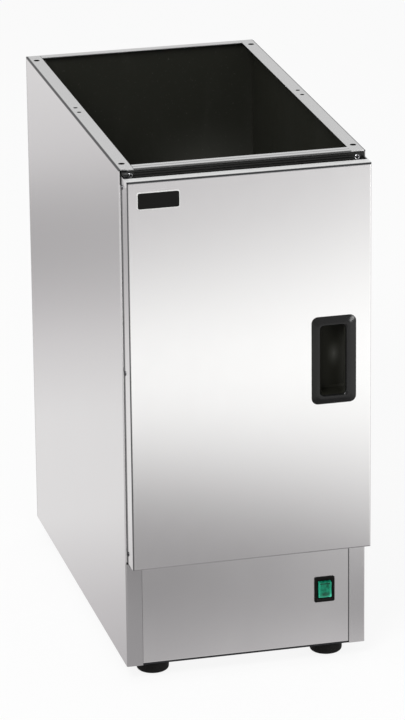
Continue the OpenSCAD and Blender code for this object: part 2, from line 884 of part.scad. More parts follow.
// Wires between the terminal block, the switch, the thermostat and the element
module wiring_loom() {
  out = [0, -wire_lead, 0];
  down = [0, 0, -wire_lead];
  sag = [0, 0, -wire_sag];
  low = sheet + block_h / 2;
  middle = [body_d * 0.58, body_d * 0.23];
  pole = [for (i = [-1:1]) [block_at[0] + i * pole_pitch, block_at[1] - block_d / 2, low]];
  blade = [for (dz = blade_dz) [switch_x, switch_depth + blade_l, switch_z + dz]];
  heat = [for (s = [-1, 1])
    [thermostat_at[0] + s * tag_out, thermostat_at[1], floor_z - sheet - thermostat_h]];
  end = [for (i = [0, 3]) [element_x[i], terminal_y, terminal_low - element_pin_l]];
  earth = [earth_at[0], earth_at[1] - earth_nut_r * cos(30), sheet + earth_nut_h / 2];
  beside = pole[1] + [2 * pole_r, 0, 0];
  half = wire_sag / 2;
  routes = [
    [each lead(pole[0], out), [pole[0][0] - wire_bow, middle[0], low - wire_r],
      [pole[0][0] - wire_bow, middle[1], low + wire_bow], each tail(blade[0], -2 * out)],
    [each lead(pole[1], out), [pole[1][0] - wire_bow, middle[0], low - wire_r],
      [pole[1][0] - wire_bow, middle[1], low + 2 * wire_lead], each tail(blade[2], -2 * out)],
    [each lead(blade[1], -2 * out), blade[1] + [-wire_sag, 2 * wire_sag, -wire_lead],
      heat[0] + [half, -wire_sag, -wire_sag], each tail(heat[0], down)],
    [each lead(heat[1], down), heat[1] + [-half, wire_sag, 0] + sag,
      end[0] + [half, -wire_sag, 0] + sag, each tail(end[0], down)],
    [each lead(beside, out), end[1] + [half, -half, 0] + sag, each tail(end[1], down)],
    [each lead(pole[2], out), pole[2] + [wire_r, 3 * out[1], 0], each tail(earth, 2 * out)]
  ];
  color(copper_red) in_cabinet() for (r = routes) tube(curve(r, 4), wire_r, 8);
}

// Gland in the back panel, with the bore for the supply cable
module cable_gland() {
  inner = sheet + gland_thread_l;
  color(black) in_cabinet() translate([gland_x, body_d, gland_z]) rotate([-90, 0, 0]) difference() {
    union() {
      translate([0, 0, -inner]) cylinder(r = gland_thread_r, h = inner);
      cylinder(r = gland_hex_r, h = gland_hex_h, $fn = 6);
      cylinder(r = gland_cap_r, h = gland_out - gland_taper);
      translate([0, 0, gland_out - gland_taper])
        cylinder(r1 = gland_cap_r, r2 = gland_mouth_r, h = gland_taper);
    }
    translate([0, 0, -inner - past]) cylinder(d = cable_d, h = inner + gland_out + 2 * past);
  }
}

module gland_locknut() {
  color(black) in_cabinet() translate([gland_x, side_d, gland_z]) rotate([90, 0, 0]) difference() {
    cylinder(r = gland_hex_r, h = gland_nut_h, $fn = 6);
    translate([0, 0, -past]) cylinder(r = gland_thread_r, h = gland_nut_h + 2 * past);
  }
}

// Snap-in body of the switch, with the pocket for the rocker
module switch_body() {
  half_w = pocket_half_w + switch_wall;
  half_h = pocket_half_h + switch_wall;
  pin_reach = rocker_w / 2 + rocker_pin_l + rocker_gap;
  color(black) in_cabinet() translate([switch_x, 0, switch_z]) difference() {
    union() {
      along_y(-bezel_t, 0) centred_rect(bezel_w, bezel_h, bezel_r);
      block([-half_w, 0, -half_h], [half_w, switch_depth, half_h]);
    }
    block([-pocket_half_w, -bezel_t - past, -pocket_half_h],
          [pocket_half_w, rocker_pin_y + rocker_r + rocker_gap, pocket_half_h]);
    rod_x([-pin_reach, rocker_pin_y, 0], rocker_pin_r + pin_fit, 2 * pin_reach);
  }
}

module switch_blades() {
  color(brass) in_cabinet() for (dz = blade_dz)
    translate([switch_x, switch_depth, switch_z + dz])
      block([-blade_w / 2, 0, -blade_t / 2], [blade_w / 2, blade_l, blade_t / 2]);
}

// Lit rocker: round about its pins, with a face dished to the middle
module switch_rocker() {
  tip = [-rocker_out - rocker_dish, rocker_r];
  heel = [rocker_back, rocker_r];
  color(green) in_cabinet() translate([switch_x, 0, switch_z]) {
    along_x(-rocker_w / 2, rocker_w / 2) intersection() {
      translate([rocker_pin_y, 0]) circle(rocker_r);
      polygon([[tip[0], -tip[1]], [-rocker_out, 0], tip, heel, [heel[0], -heel[1]]]);
    }
    rod_x([-rocker_w / 2 - rocker_pin_l, rocker_pin_y, 0], rocker_pin_r, rocker_w + 2 * rocker_pin_l);
  }
}

// Bracket with its arm above z = 0 and its leg hanging behind the sheet at leg_y
module hinge_bracket(leg_y) {
  difference() {
    union() {
      translate([pivot_x, pivot_y, 0]) cylinder(r = arm_half, h = bracket_t);
      block([pivot_x - arm_half, pivot_y, 0], [pivot_x + arm_half, leg_y + bracket_t, bracket_t]);
      block([pivot_x - arm_half, leg_y, -leg_h],
            [pivot_x - arm_half + leg_w, leg_y + bracket_t, bracket_t]);
    }
    translate([pivot_x, pivot_y, -past]) cylinder(r = pin_r, h = bracket_t + 2 * past);
  }
}

module upper_hinge_bracket() {
  color(black) in_cabinet() difference() {
    translate([0, 0, upper_arm_z]) hinge_bracket(rail_face);
    rod_y([strip_screw_x[0], 0, strip_screw_z], strip_screw_r, rail_face + 2 * bracket_t);
  }
}

module lower_hinge_bracket() {
  color(black) in_cabinet() translate([0, 0, lower_arm_z]) mirror([0, 0, 1]) hinge_bracket(sheet);
}

// Pin of a bracket, pointing down: shank in the arm, collar over the bush, journal in the bush
module hinge_pin() {
  l = arm_gap + 2 * tab_t + pin_end;
  translate([0, 0, -l]) cylinder(r = pin_r, h = l + bracket_t);
  translate([0, 0, -arm_gap - tab_t + clear]) cylinder(r = collar_r, h = arm_gap + tab_t - clear);
}

module hinge_pins() {
  color(bright) in_cabinet() {
    translate([pivot_x, pivot_y, upper_arm_z]) hinge_pin();
    translate([pivot_x, pivot_y, lower_arm_z]) mirror([0, 0, 1]) hinge_pin();
  }
}

// Magnet housing that looks through the right front return
module magnetic_catch() {
  color(black) in_cabinet() {
    block([catch_x[0], catch_face, catch_z - catch_half_h],
          [catch_x[1], catch_back, catch_z + catch_half_h]);
    block([catch_x[0], sheet, catch_z - catch_half_h - catch_ear],
          [catch_x[1], sheet + catch_ear_t, catch_z + catch_half_h + catch_ear]);
  }
}

module catch_plate() {
  color(bright) in_cabinet()
    block([catch_x[0] - catch_plate_rim, door_back, catch_z - catch_half_h],
          [catch_x[1] + catch_plate_rim, door_back + catch_plate_t, catch_z + catch_half_h]);
}

// Rubber buttons that the closing door meets
module door_buffers() {
  reach = [sheet, rail_face];
  color(black) in_cabinet() for (i = [0, 1]) {
    rod_y([buffer_x, -door_gap + clear, buffer_z[i]], buffer_r, door_gap - clear);
    rod_y([buffer_x, -door_gap + clear, buffer_z[i]], buffer_stem_r, door_gap - clear + reach[i]);
  }
}

// Foot with its moulded-in stud, about its own axis; its pad tapers to a narrower collar
module foot(x, y) {
  r = foot_d / 2;
  inner = r - foot_chamfer;
  collar = r - foot_collar_in;
  pad = foot_pad_h - foot_h;
  tip = sheet + nut_h + stud_past;
  translate([x, y, 0]) rotate_extrude() polygon([
    [0, -foot_h], [inner, -foot_h], [r, foot_chamfer - foot_h], [r, pad - foot_chamfer], [inner, pad],
    [collar, pad], [collar, 0], [stud_r, 0], [stud_r, tip], [0, tip]
  ]);
}

module front_left_foot() {
  color(black) in_cabinet() foot(-foot_x, foot_y[0]);
}

module front_right_foot() {
  color(black) in_cabinet() foot(foot_x, foot_y[0]);
}

module rear_left_foot() {
  color(black) in_cabinet() foot(-foot_x, foot_y[1]);
}

module rear_right_foot() {
  color(black) in_cabinet() foot(foot_x, foot_y[1]);
}

module foot_nuts() {
  color(bright) in_cabinet() for (s = [-1, 1], y = foot_y)
    translate([s * foot_x, y, sheet]) difference() {
      cylinder(r = 1.8 * stud_r, h = nut_h, $fn = 6);
      translate([0, 0, -past]) cylinder(r = stud_r, h = nut_h + 2 * past);
    }
}

// Solid of the door with its front edges round, drawn in by t on every side but the back
module door_solid(t) {
  r = door_r - t * 0.9;
  w = door_w - 2 * t;
  h = door_h - 2 * t;
  d = door_t - t;
  intersection() {
    translate([0, 0, door_z + t]) linear_extrude(h) intersection() {
      translate([-w / 2, door_front + t]) rounded_rect(w, 2 * d, r);
      translate([-w / 2, door_front + t]) square([w, d]);
    }
    along_x(-w / 2, w / 2) intersection() {
      translate([door_front + t, door_z + t]) rounded_rect(2 * d, h, r);
      translate([door_front + t, door_z + t]) square([d, h]);
    }
  }
}

// Stands a profile on the door's face at the handle, outwards along its own z
module at_handle() {
  translate([handle_x, door_front, handle_z]) rotate([90, 0, 0]) children();
}

// Folded front pan of the door, open at the back
module door_outer_panel() {
  color(steel) in_cabinet() difference() {
    door_solid(0);
    door_solid(door_sheet);
    // The returns along the top and the bottom are shallower than those at the sides
    block([-door_in, door_front + door_top_d, door_z - past], [door_in, 0, door_top + past]);
    at_handle() translate([0, 0, -2 * door_sheet]) linear_extrude(4 * door_sheet) handle_plan(0);
    for (z = side_screw_z)
      rod_x([door_l - past, side_screw_y, z], side_screw_r, 2 * past + door_sheet);
  }
}

// Back pan of the door, its folds closing in the wool
module door_inner_panel() {
  low = door_z + inner_in;
  top = door_top - inner_in;
  left = door_l + door_sheet + stile_w + seam;
  color(steel) in_cabinet() {
    block([-door_in, inner_y, low], [door_in, door_back, top]);
    for (z = [low, top - door_sheet])
      block([left, inner_y - inner_fold, z], [door_in, door_back, z + door_sheet]);
    block([door_in - door_sheet, inner_y - inner_fold, low], [door_in, door_back, top]);
  }
}

// Wool between the two pans, cut out round the handle
module door_insulation() {
  low = door_z + inner_in + door_sheet;
  top = door_top - inner_in - door_sheet;
  left = door_l + door_sheet + stile_w + seam;
  color(wool) in_cabinet() difference() {
    block([left, door_front + door_sheet, low], [door_in - door_sheet, inner_y, top]);
    at_handle() translate([0, 0, -handle_d]) linear_extrude(handle_d) handle_plan(seam);
  }
}

// Channel inside the door's left side that carries the bushes
module hinge_stile() {
  left = door_l + door_sheet;
  low = door_z + tab_t;
  top = door_top - tab_t;
  color(bright) in_cabinet() difference() {
    union() {
      block([left, inner_y - stile_front, low], [left + stile_t, inner_y, top]);
      block([left, inner_y - stile_t, door_z + inner_in],
            [left + stile_w, inner_y, door_top - inner_in]);
      for (z = [low, top - tab_t])
        block([left, pivot_y - tab_half, z], [pivot_x + tab_half, inner_y, z + tab_t]);
    }
    for (z = [low, top - tab_t])
      translate([pivot_x, pivot_y, z - past]) cylinder(r = bush_r, h = tab_t + 2 * past);
    for (z = side_screw_z)
      rod_x([left - past, side_screw_y, z], side_screw_r, stile_t + 2 * past);
  }
}

module hinge_bushes() {
  color(brass) in_cabinet() for (z = [door_z + tab_t, door_top - 2 * tab_t])
    translate([pivot_x, pivot_y, z]) difference() {
      cylinder(r = bush_r, h = tab_t);
      translate([0, 0, -past]) cylinder(r = pin_r + pin_fit, h = tab_t + 2 * past);
    }
}

module door_side_screws() {
  color(bright) in_cabinet() for (z = side_screw_z)
    translate([door_l, side_screw_y, z]) rotate([0, -90, 0]) {
      translate([0, 0, -side_screw_l]) cylinder(r = side_screw_r, h = side_screw_l);
      cylinder(r1 = 1.5 * side_screw_r, r2 = 1.1 * side_screw_r, h = side_head_h);
    }
}

// Outline of the handle's body behind the door's face, with room round it
module handle_plan(room) {
  w = handle_w - handle_body_in[0] + 2 * room;
  h = handle_h - handle_body_in[1] + 2 * room;
  centred_rect(w, h, handle_body_r + room);
}

// Thin plate with round corners, for the ends of a tapered hull
module plate(z, w, h, r) {
  translate([0, 0, z]) linear_extrude(plate_t) centred_rect(w, h, r, $fn = 32);
}

// Moulded pull: bevelled rim on the face, tapered recess, finger space behind its right edge
module door_handle() {
  edge = handle_rim / 3;
  recess_z = handle_floor - handle_d;
  finger_z = recess_h / 2 - finger_in[1];
  color(black) in_cabinet() at_handle() difference() {
    union() {
      linear_extrude(edge) centred_rect(handle_w, handle_h, handle_r);
      hull() {
        plate(edge - plate_t, handle_w, handle_h, handle_r);
        plate(handle_rim - plate_t, handle_w - handle_bevel[0], handle_h - handle_bevel[1], handle_body_r);
      }
      translate([0, 0, -handle_d]) linear_extrude(handle_d + edge / 2) handle_plan(0);
    }
    hull() {
      plate(handle_rim, recess_w + recess_open, recess_h + recess_open, recess_r);
      plate(recess_z, recess_w + recess_open - recess_draft[0],
            recess_h + recess_open - recess_draft[1], recess_r - plate_t * recess_r);
    }
    block([0, -finger_z, recess_z], [handle_w / 2 - finger_in[0], finger_z, finger_front]);
  }
}

// Welded wire shelf: round-cornered frame rod, cross rods and wires along the depth
module wire_shelf() {
  r = rod_d / 2;
  x = shelf_half - r;
  y = [shelf_y[0] + r, shelf_y[1] - r];
  wire_step = 2 * (x - shelf_corner) / (wire_count - 1);
  color(bright) in_cabinet() translate([0, 0, runner_z + r]) {
    for (s = [-1, 1]) rod_y([s * x, y[0] + shelf_corner, 0], r, y[1] - y[0] - 2 * shelf_corner);
    for (e = y) rod_x([-x + shelf_corner, e, 0], r, 2 * (x - shelf_corner));
    for (c = [[1, 1, 0], [-1, 1, 90], [-1, 0, 180], [1, 0, 270]])
      translate([c[0] * (x - shelf_corner), c[1] > 0 ? y[1] - shelf_corner : y[0] + shelf_corner, 0])
        rotate(c[2]) rotate_extrude(angle = 90) translate([shelf_corner, 0]) circle(r);
    for (t = [1 / 3, 2 / 3]) rod_x([-x, y[0] + t * (y[1] - y[0]), 0], r - weld, 2 * x);
    for (i = [0:wire_count - 1])
      rod_y([-x + shelf_corner + i * wire_step, y[0], r + wire_d / 2 - weld], wire_d / 2, y[1] - y[0]);
  }
}

left_side_panel();
right_side_panel();
back_panel();
base_pan();
front_top_rail();
seal_strip();
strip_screws();
cavity_floor();
control_fascia();
fascia_screws();
left_liner();
right_liner();
rear_liner();
left_runner();
right_runner();
heating_element();
element_nuts();
element_supports();
element_guard();
guard_screws();
thermostat();
terminal_block();
earth_stud();
wiring_loom();
cable_gland();
gland_locknut();
switch_body();
switch_blades();
switch_rocker();
upper_hinge_bracket();
lower_hinge_bracket();
hinge_pins();
magnetic_catch();
door_buffers();
front_left_foot();
front_right_foot();
rear_left_foot();
rear_right_foot();
foot_nuts();
back_panel_screws();
door_outer_panel();
door_inner_panel();
door_insulation();
hinge_stile();
hinge_bushes();
door_side_screws();
door_handle();
catch_plate();
wire_shelf();
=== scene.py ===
# %% [markdown]
# A hot cupboard: a narrow stainless pedestal with an open top, one door and a lit rocker switch.
# The packed CAD model holds every real shape and size. This lesson loads it as a fixed frame, gives
# each surface its finish, and swaps the small mouldings for smoother ones that sit in the same place.

# %% Load the packed model
import math

import bmesh
import bpy
from mathutils import Matrix, Vector


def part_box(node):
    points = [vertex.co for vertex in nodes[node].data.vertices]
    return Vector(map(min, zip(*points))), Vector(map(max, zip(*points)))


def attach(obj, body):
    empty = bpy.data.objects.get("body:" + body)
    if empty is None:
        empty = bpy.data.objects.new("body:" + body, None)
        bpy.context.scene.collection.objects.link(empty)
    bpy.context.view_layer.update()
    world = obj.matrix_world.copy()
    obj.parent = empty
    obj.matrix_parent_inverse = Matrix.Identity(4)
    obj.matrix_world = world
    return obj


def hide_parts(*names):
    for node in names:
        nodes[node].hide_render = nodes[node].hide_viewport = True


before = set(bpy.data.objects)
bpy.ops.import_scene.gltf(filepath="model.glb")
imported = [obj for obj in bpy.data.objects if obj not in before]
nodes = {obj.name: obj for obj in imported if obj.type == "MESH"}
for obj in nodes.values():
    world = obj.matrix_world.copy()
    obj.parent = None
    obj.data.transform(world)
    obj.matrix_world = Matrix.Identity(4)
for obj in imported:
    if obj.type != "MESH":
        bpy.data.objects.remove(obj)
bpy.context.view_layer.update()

scene = bpy.context.scene
mm = 0.001

# %% [markdown]
# The camera stands high on the left with a long lens, as in the photograph. Its place and turn come
# from matching the corners of the CAD model to the corners in the photograph. The photograph's
# upright lines are parallel; a lens shift would copy that, but it would also push the object out of
# every other view, so the shift stays at zero.

# %% Camera
CAMERA_AT = (-1.2194, -4.9422, 2.1034)
YAW, PITCH, ROLL = math.radians(-13.985), math.radians(19.358), math.radians(-0.627)
LENS, SENSOR, FAR = 215.28, 36, 200


def camera_turn(yaw, pitch, roll):
    reach = math.cos(pitch)
    forward = Vector((-math.sin(yaw) * reach, math.cos(yaw) * reach, -math.sin(pitch)))
    right = Vector((math.cos(yaw), math.sin(yaw), 0))
    up = right.cross(forward)
    level = Matrix((right, up, -forward)).transposed()
    return level @ Matrix.Rotation(roll, 3, "Z")


camera_data = bpy.data.cameras.new("photo_camera")
camera_data.lens = LENS
camera_data.sensor_width = SENSOR
camera_data.clip_end = FAR
camera = bpy.data.objects.new("photo_camera", camera_data)
camera.matrix_world = Matrix.Translation(CAMERA_AT) @ camera_turn(YAW, PITCH, ROLL).to_4x4()
scene.collection.objects.link(camera)
scene.camera = camera
scene.view_settings.view_transform = "Standard"
print("camera at", [round(v, 3) for v in camera.location], "lens", camera_data.lens)

# %% [markdown]
# Node trees can be wired by hand, but a long chain of Math nodes is hard to read back. A small class
# around one socket lets the same chain be written as an ordinary formula: each operator adds its
# Math node. One method adds any other node, for shader trees and for Geometry Nodes alike. Noise
# runs from 0 to 1 about a middle of 0.5, so four short methods give its swing about that middle, the
# same noise with more contrast, and what lies above or below a level.

# %% Formulas that build nodes
class Signal:
    """One output of a node. Arithmetic on it adds Math nodes to the same tree."""

    def __init__(self, tree, socket=None):
        self.tree = tree
        self.socket = socket

    def node(self, kind, settings=None, sockets=None, out=0):
        made = self.tree.nodes.new(kind)
        for key, value in (settings or {}).items():
            if key == "stops":
                set_stops(made.color_ramp.elements, value)
            else:
                setattr(made, key, value)
        for key, value in (sockets or {}).items():
            if isinstance(value, Signal):
                self.tree.links.new(value.socket, made.inputs[key])
            else:
                made.inputs[key].default_value = value
        return Signal(self.tree, made.outputs[out])

    def other(self, out):
        return Signal(self.tree, self.socket.node.outputs[out])

    def maths(self, operation, a, b=0.0):
        return self.node("ShaderNodeMath", {"operation": operation}, {0: a, 1: b})

    def mix(self, factor, a, b, blend="MIX"):
        settings = {"data_type": "RGBA", "blend_type": blend}
        return self.node("ShaderNodeMix", settings, {0: factor, 6: a, 7: b}, 2)

    def clamped(self):
        return self.node("ShaderNodeClamp", None, {"Value": self})

    def swing(self, amount):
        return (self - 0.5) * amount

    def sharpened(self, gain):
        return (self.swing(gain) + 0.5).clamped()

    def above(self, level, gain):
        return ((self - level) * gain).clamped()

    def below(self, level, gain):
        return ((level - self) * gain).clamped()

    def __add__(self, other):
        return self.maths("ADD", self, other)

    def __radd__(self, other):
        return self.maths("ADD", other, self)

    def __sub__(self, other):
        return self.maths("SUBTRACT", self, other)

    def __rsub__(self, other):
        return self.maths("SUBTRACT", other, self)

    def __mul__(self, other):
        return self.maths("MULTIPLY", self, other)

    def __rmul__(self, other):
        return self.maths("MULTIPLY", other, self)

    def __truediv__(self, other):
        return self.maths("DIVIDE", self, other)

    def __rtruediv__(self, other):
        return self.maths("DIVIDE", other, self)

    def __pow__(self, other):
        return self.maths("POWER", self, other)

    def __rpow__(self, other):
        return self.maths("POWER", other, self)


def set_stops(elements, stops):
    while len(elements) < len(stops):
        elements.new(1.0)
    for element, (position, colour) in zip(elements, stops):
        element.position = position
        element.color = colour


def grey(value):
    return (value, value, value, 1.0)


print("formula class ready:", [name for name in Signal.__dict__ if not name.startswith("_")])

# %% [markdown]
# Brushed steel has no colour of its own to speak of: it shows what lies before it. In the photograph
# that is a table with one pool of light in front and another behind, and greyer bands between them.
# The vertical shading of the door is the mirror image of those bands. Lamps could throw such pools,
# but they would change the light on every other piece as well. The bands are a list of tones
# instead, laid out along Y.

# %% Bands of light
BAND_SPAN = 6.0
PINK_BELOW, PINK_FADE = 0.6, 0.4

# Each band is a place along Y in metres and a brightness.
BANDS = [
    (-2.9, 0.55), (-2.1, 0.58), (-1.85, 0.88), (-1.65, 1.17), (-1.45, 1.29), (-1.25, 1.19), (-1.05, 0.87),
    (-0.8, 0.43), (-0.62, 0.33), (-0.48, 0.35), (-0.3, 0.49), (0.0, 0.61), (0.3, 0.81), (0.7, 0.82),
    (1.0, 0.69), (1.2, 0.55), (1.4, 0.45), (1.55, 0.43), (1.72, 0.48), (1.95, 0.67), (2.6, 0.78),
]


def table_tone(value):
    """A grey that is faintly pink in the darker bands and neutral in the pools."""
    share = min(max((value - PINK_BELOW) / PINK_FADE, 0.0), 1.0)
    green = 0.966 + 0.032 * share
    blue = 0.980 + 0.008 * share
    return (value, value * green, value * blue, 1.0)


stops = [(y / BAND_SPAN + 0.5, table_tone(value)) for y, value in BANDS]
print("table bands", len(BANDS))

# %% [markdown]
# The table itself is one white sheet that runs out of sight; a curved backdrop would do as well, but its
# bend would show in the steel. What the camera sees of it is white, through the Light Path node,
# with a share of real diffuse light so that the cupboard keeps a soft shadow. Only mirror rays see
# the bands. In front of the door the pool widens to the right.

# %% White table
TABLE_HALF, TABLE_Z = 40.0, -0.3 * mm
TABLE_WHITE, WHITE_SHARE = 0.82, 0.88
POOL_Y, POOL_START, POOL_GAIN, POOL_SPREAD = -1.45, -0.3, 5.0, 1.15
DOOR_FACE_Y, CAMERA_SLANT = -0.286, 0.249


def square_sheet(name, half, z):
    mesh = bpy.data.meshes.new(name)
    corners = [(-half, -half, z), (half, -half, z), (half, half, z), (-half, half, z)]
    mesh.from_pydata(corners, [], [(0, 1, 2, 3)])
    sheet = bpy.data.objects.new(name, mesh)
    scene.collection.objects.link(sheet)
    return sheet


def new_finish(name):
    finish = bpy.data.materials.new(name)
    finish.use_nodes = True
    return finish, Signal(finish.node_tree), finish.node_tree.nodes["Principled BSDF"]


def axes(at):
    """A point's place on the object in metres, as a vector and as its x, y and z."""
    place = at.node("ShaderNodeTexCoord", out="Object")
    split = at.node("ShaderNodeSeparateXYZ", None, {0: place})
    return place, {"x": split, "y": split.other("Y"), "z": split.other("Z")}


table = square_sheet("table", TABLE_HALF, TABLE_Z)
table_finish, at, table_shader = new_finish("white_table")
table_finish.node_tree.nodes.remove(table_shader)
where = axes(at)[1]
along = where["y"]
door_x = where["x"] + (along - DOOR_FACE_Y) * CAMERA_SLANT
ahead = along.below(POOL_START, POOL_GAIN)
wide = along - door_x * (along - POOL_Y) * ahead * POOL_SPREAD
pool = at.node("ShaderNodeValToRGB", {"stops": stops}, {0: wide / BAND_SPAN + 0.5})
rays = at.node("ShaderNodeLightPath", out="Is Camera Ray")
seen = rays + rays.other("Is Transmission Ray")
matt = at.node("ShaderNodeBsdfDiffuse", None, {"Color": grey(TABLE_WHITE)})
white = at.node("ShaderNodeEmission", None, {"Color": grey(1.0)})
lit = at.node("ShaderNodeEmission", None, {"Color": pool})
shown = at.node("ShaderNodeMixShader", None, {0: seen * WHITE_SHARE, 1: matt, 2: white})
whole = at.node("ShaderNodeMixShader", None, {0: rays.other("Is Glossy Ray"), 1: shown, 2: lit})
output = table_finish.node_tree.nodes["Material Output"]
table_finish.node_tree.links.new(whole.socket, output.inputs["Surface"])
table.data.materials.append(table_finish)
print("table", 2 * TABLE_HALF, "m wide, nodes in its finish", len(table_finish.node_tree.nodes))

# %% [markdown]
# Above the table there is only soft light. A panorama of a studio could surround the scene, but a short
# ramp is easier to adjust. The world is white to the camera, a little greyer and darker overhead to
# mirror rays, as a studio ceiling is, and a plain level for diffuse light. Three large softboxes give
# the black mouldings their highlights; they are hidden from the camera. The one on top is wide and
# weak, so that the flanges stay below white when they are seen from above.

# %% World and softboxes
AMBIENT = 0.62
OVERHEAD = [(0.0, grey(0.62)), (0.5, grey(0.58)), (0.95, grey(0.26))]
AIM = Vector((0, 0, 0.35))

world = bpy.data.worlds.new("studio")
scene.world = world
world.use_nodes = True
sky = Signal(world.node_tree)
heading = sky.node("ShaderNodeTexCoord", out="Generated")
height = sky.node("ShaderNodeSeparateXYZ", None, {0: heading}, "Z")
ceiling = sky.node("ShaderNodeValToRGB", {"stops": OVERHEAD}, {0: height})
ray = sky.node("ShaderNodeLightPath", out="Is Camera Ray")
straight = ray + ray.other("Is Transmission Ray")
plain = sky.mix(straight, grey(AMBIENT), grey(1.0))
background = world.node_tree.nodes["Background"]
light = sky.mix(ray.other("Is Glossy Ray"), plain, ceiling)
world.node_tree.links.new(light.socket, background.inputs["Color"])


def softbox(name, place, size, power):
    lamp = bpy.data.lights.new(name, "AREA")
    lamp.shape = "SQUARE"
    lamp.size = size
    lamp.energy = power
    box = bpy.data.objects.new(name, lamp)
    box.location = place
    box.rotation_euler = (AIM - Vector(place)).to_track_quat("-Z", "Y").to_euler()
    box.visible_camera = False
    scene.collection.objects.link(box)
    return box


lamps = [
    softbox("key_box", (-1.5, -2.3, 2.7), size=1.4, power=70),
    softbox("fill_box", (1.80, -2.75, 0.5), size=0.7, power=18),
    softbox("top_box", (0.2, 1.2, 2.9), size=2.6, power=12),
]
print("softboxes", [lamp.name for lamp in lamps])

# %% [markdown]
# Every finish needs the same few tools besides its coordinates: a mask along a straight edge, a noise
# that can be stretched along a grain, and a last step that links colour, roughness and bump. They
# could be node groups. As plain functions they keep each finish down to a few lines that show its
# own numbers.

# %% Tools for finishes
def near_line(where, first, second, full, fade):
    """1 within full of the line where two coordinates have these values, 0 from full + fade on."""
    a = where[first[0]] - first[1]
    b = where[second[0]] - second[1]
    away = (a * a + b * b) ** 0.5
    return ((full + fade - away) / fade).clamped()


def noise(at, place, scale, detail=3.0, rough=0.55):
    stretched = at.node("ShaderNodeMapping", None, {"Vector": place, "Scale": scale})
    sockets = {"Vector": stretched, "Scale": 1.0, "Detail": detail, "Roughness": rough}
    return at.node("ShaderNodeTexNoise", None, sockets)


def dress(at, shader, colour, rough):
    at.tree.links.new(colour.socket, shader.inputs["Base Color"])
    at.tree.links.new(rough.socket, shader.inputs["Roughness"])


def raise_grain(at, shader, height, strength, distance):
    sockets = {"Strength": strength, "Distance": distance, "Height": height}
    bump = at.node("ShaderNodeBump", None, sockets)
    at.tree.links.new(bump.socket, shader.inputs["Normal"])


def repaint(mesh, finish):
    mesh.materials.clear()
    mesh.materials.append(finish)


def wear(finish, *names):
    for name in names:
        repaint(nodes[name].data, finish)


print("tools for finishes:", [tool.__name__ for tool in (near_line, noise, dress, raise_grain, wear)])

# %% [markdown]
# Stainless sheet is brushed: belts leave fine parallel scratches. An anisotropic shader could imitate
# their shine, but it needs a tangent on every sheet. A noise squeezed to hair width across the grain
# and stretched along it gives the scratches themselves; a large soft noise gives the faint clouds
# that hands and cloths leave. Along a fold the grain is stretched and turns away from the light, so
# each fold gets a thin line of painted shade. Edges that catch the light get a line of painted
# highlight instead, and may be a little rougher.

# %% Brushed steel
FRONT_GRAIN = (1500.0, 60.0, 9.0)
SIDE_GRAIN = (60.0, 1500.0, 9.0)
RAIL_GRAIN = (9.0, 1500.0, 1500.0)
CLOUD_SIZE, WORN_SIZE = (7.0, 7.0, 5.0), (60.0, 60.0, 38.0)
CLOUD_SWING, ROUGH_SWING = 0.06, 0.03
STEEL_LOW, STEEL_HIGH = grey(0.74), grey(1.0)
PAINTED_SHADE = (0.02, 0.021, 0.025, 1.0)
FACE_FULL, FACE_FADE, SHADE_FADE = 1.8 * mm, 0.6 * mm, 4 * mm


def brushed_steel(name, grain, roughness, shade_lines=(), contrast=0.03, bead_shading=(), highlight_lines=(), shaded=()):
    """A shade line or a highlight line is two coordinates of a line, its full and its fading width, and how
    dark or how much rougher it is; the shade and the highlight are painted. Bead shading is a start, a
    depth and colour stops along Y: painted highlights and shade. A shaded face is its y, the height that it
    has painted shade below, and how dark."""
    finish, at, shader = new_finish(name)
    place, where = axes(at)
    hair = noise(at, place, grain, detail=4.0, rough=0.7)
    cloud = noise(at, place, CLOUD_SIZE, detail=2.0)
    worn = noise(at, place, WORN_SIZE, detail=4.0, rough=0.65)
    shade = (hair.swing(contrast) + cloud.swing(CLOUD_SWING) + 0.5).clamped()
    tone = at.mix(shade, STEEL_LOW, STEEL_HIGH)
    rough = roughness + hair.swing(ROUGH_SWING) + worn.swing(ROUGH_SWING)
    # Painted highlights and shade of rolled beads, as colour stops.
    if bead_shading:
        start, depth, stops = bead_shading
        bead_tone = at.node("ShaderNodeValToRGB", {"stops": stops}, {0: (where["y"] - start) / depth})
        tone = at.mix(1.0, tone, bead_tone, "MULTIPLY")
    # Painted highlights along edges that catch the light.
    for first, second, full, fade, rougher in highlight_lines:
        highlight_mask = near_line(where, first, second, full, fade)
        tone = at.mix(highlight_mask, tone, STEEL_HIGH)
        rough = rough + highlight_mask * rougher
    # Painted shade along folds, gaps and hole rims.
    for first, second, full, fade, dark in shade_lines:
        tone = at.mix(near_line(where, first, second, full, fade) * dark, tone, PAINTED_SHADE)
    # Painted shade on a face below a height.
    for front, top, dark in shaded:
        face = near_line(where, ("y", front), ("y", front), FACE_FULL, FACE_FADE)
        under_top = ((top - where["z"]) / SHADE_FADE).clamped()
        tone = at.mix(face * under_top * dark, tone, PAINTED_SHADE)
    dress(at, shader, tone, rough)
    raise_grain(at, shader, hair, strength=0.012, distance=0.3 * mm)
    shader.inputs["Metallic"].default_value = 1.0
    return finish


print("brushed steel, grain of the front", FRONT_GRAIN, "side", SIDE_GRAIN, "rail", RAIL_GRAIN)

# %% [markdown]
# Where a sheet is folded or cut, its edge shows as a line of painted shade or painted highlight. The
# lines could be painted on an unwrapped sheet, but they would slip when a size changes. Here they come
# from the corners of the CAD model, so they stay where the sheets are folded. Painted shade rings the
# fixing holes and covers the left side's front return below the door, and the rail has two beads
# rolled along it, whose highlights and shade are painted as stops across its depth.

# %% Folds and edges
door_low, door_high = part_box("door_outer_panel")
side_low, side_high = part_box("left_side_panel")
right_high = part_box("right_side_panel")[1]
fascia_low, fascia_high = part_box("control_fascia")
pan_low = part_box("base_pan")[0]
rail_low, rail_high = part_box("front_top_rail")
back_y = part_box("back_panel")[1].y
fold_full, fold_fade, fold_shade = 1.5 * mm, 1.3 * mm, 0.95
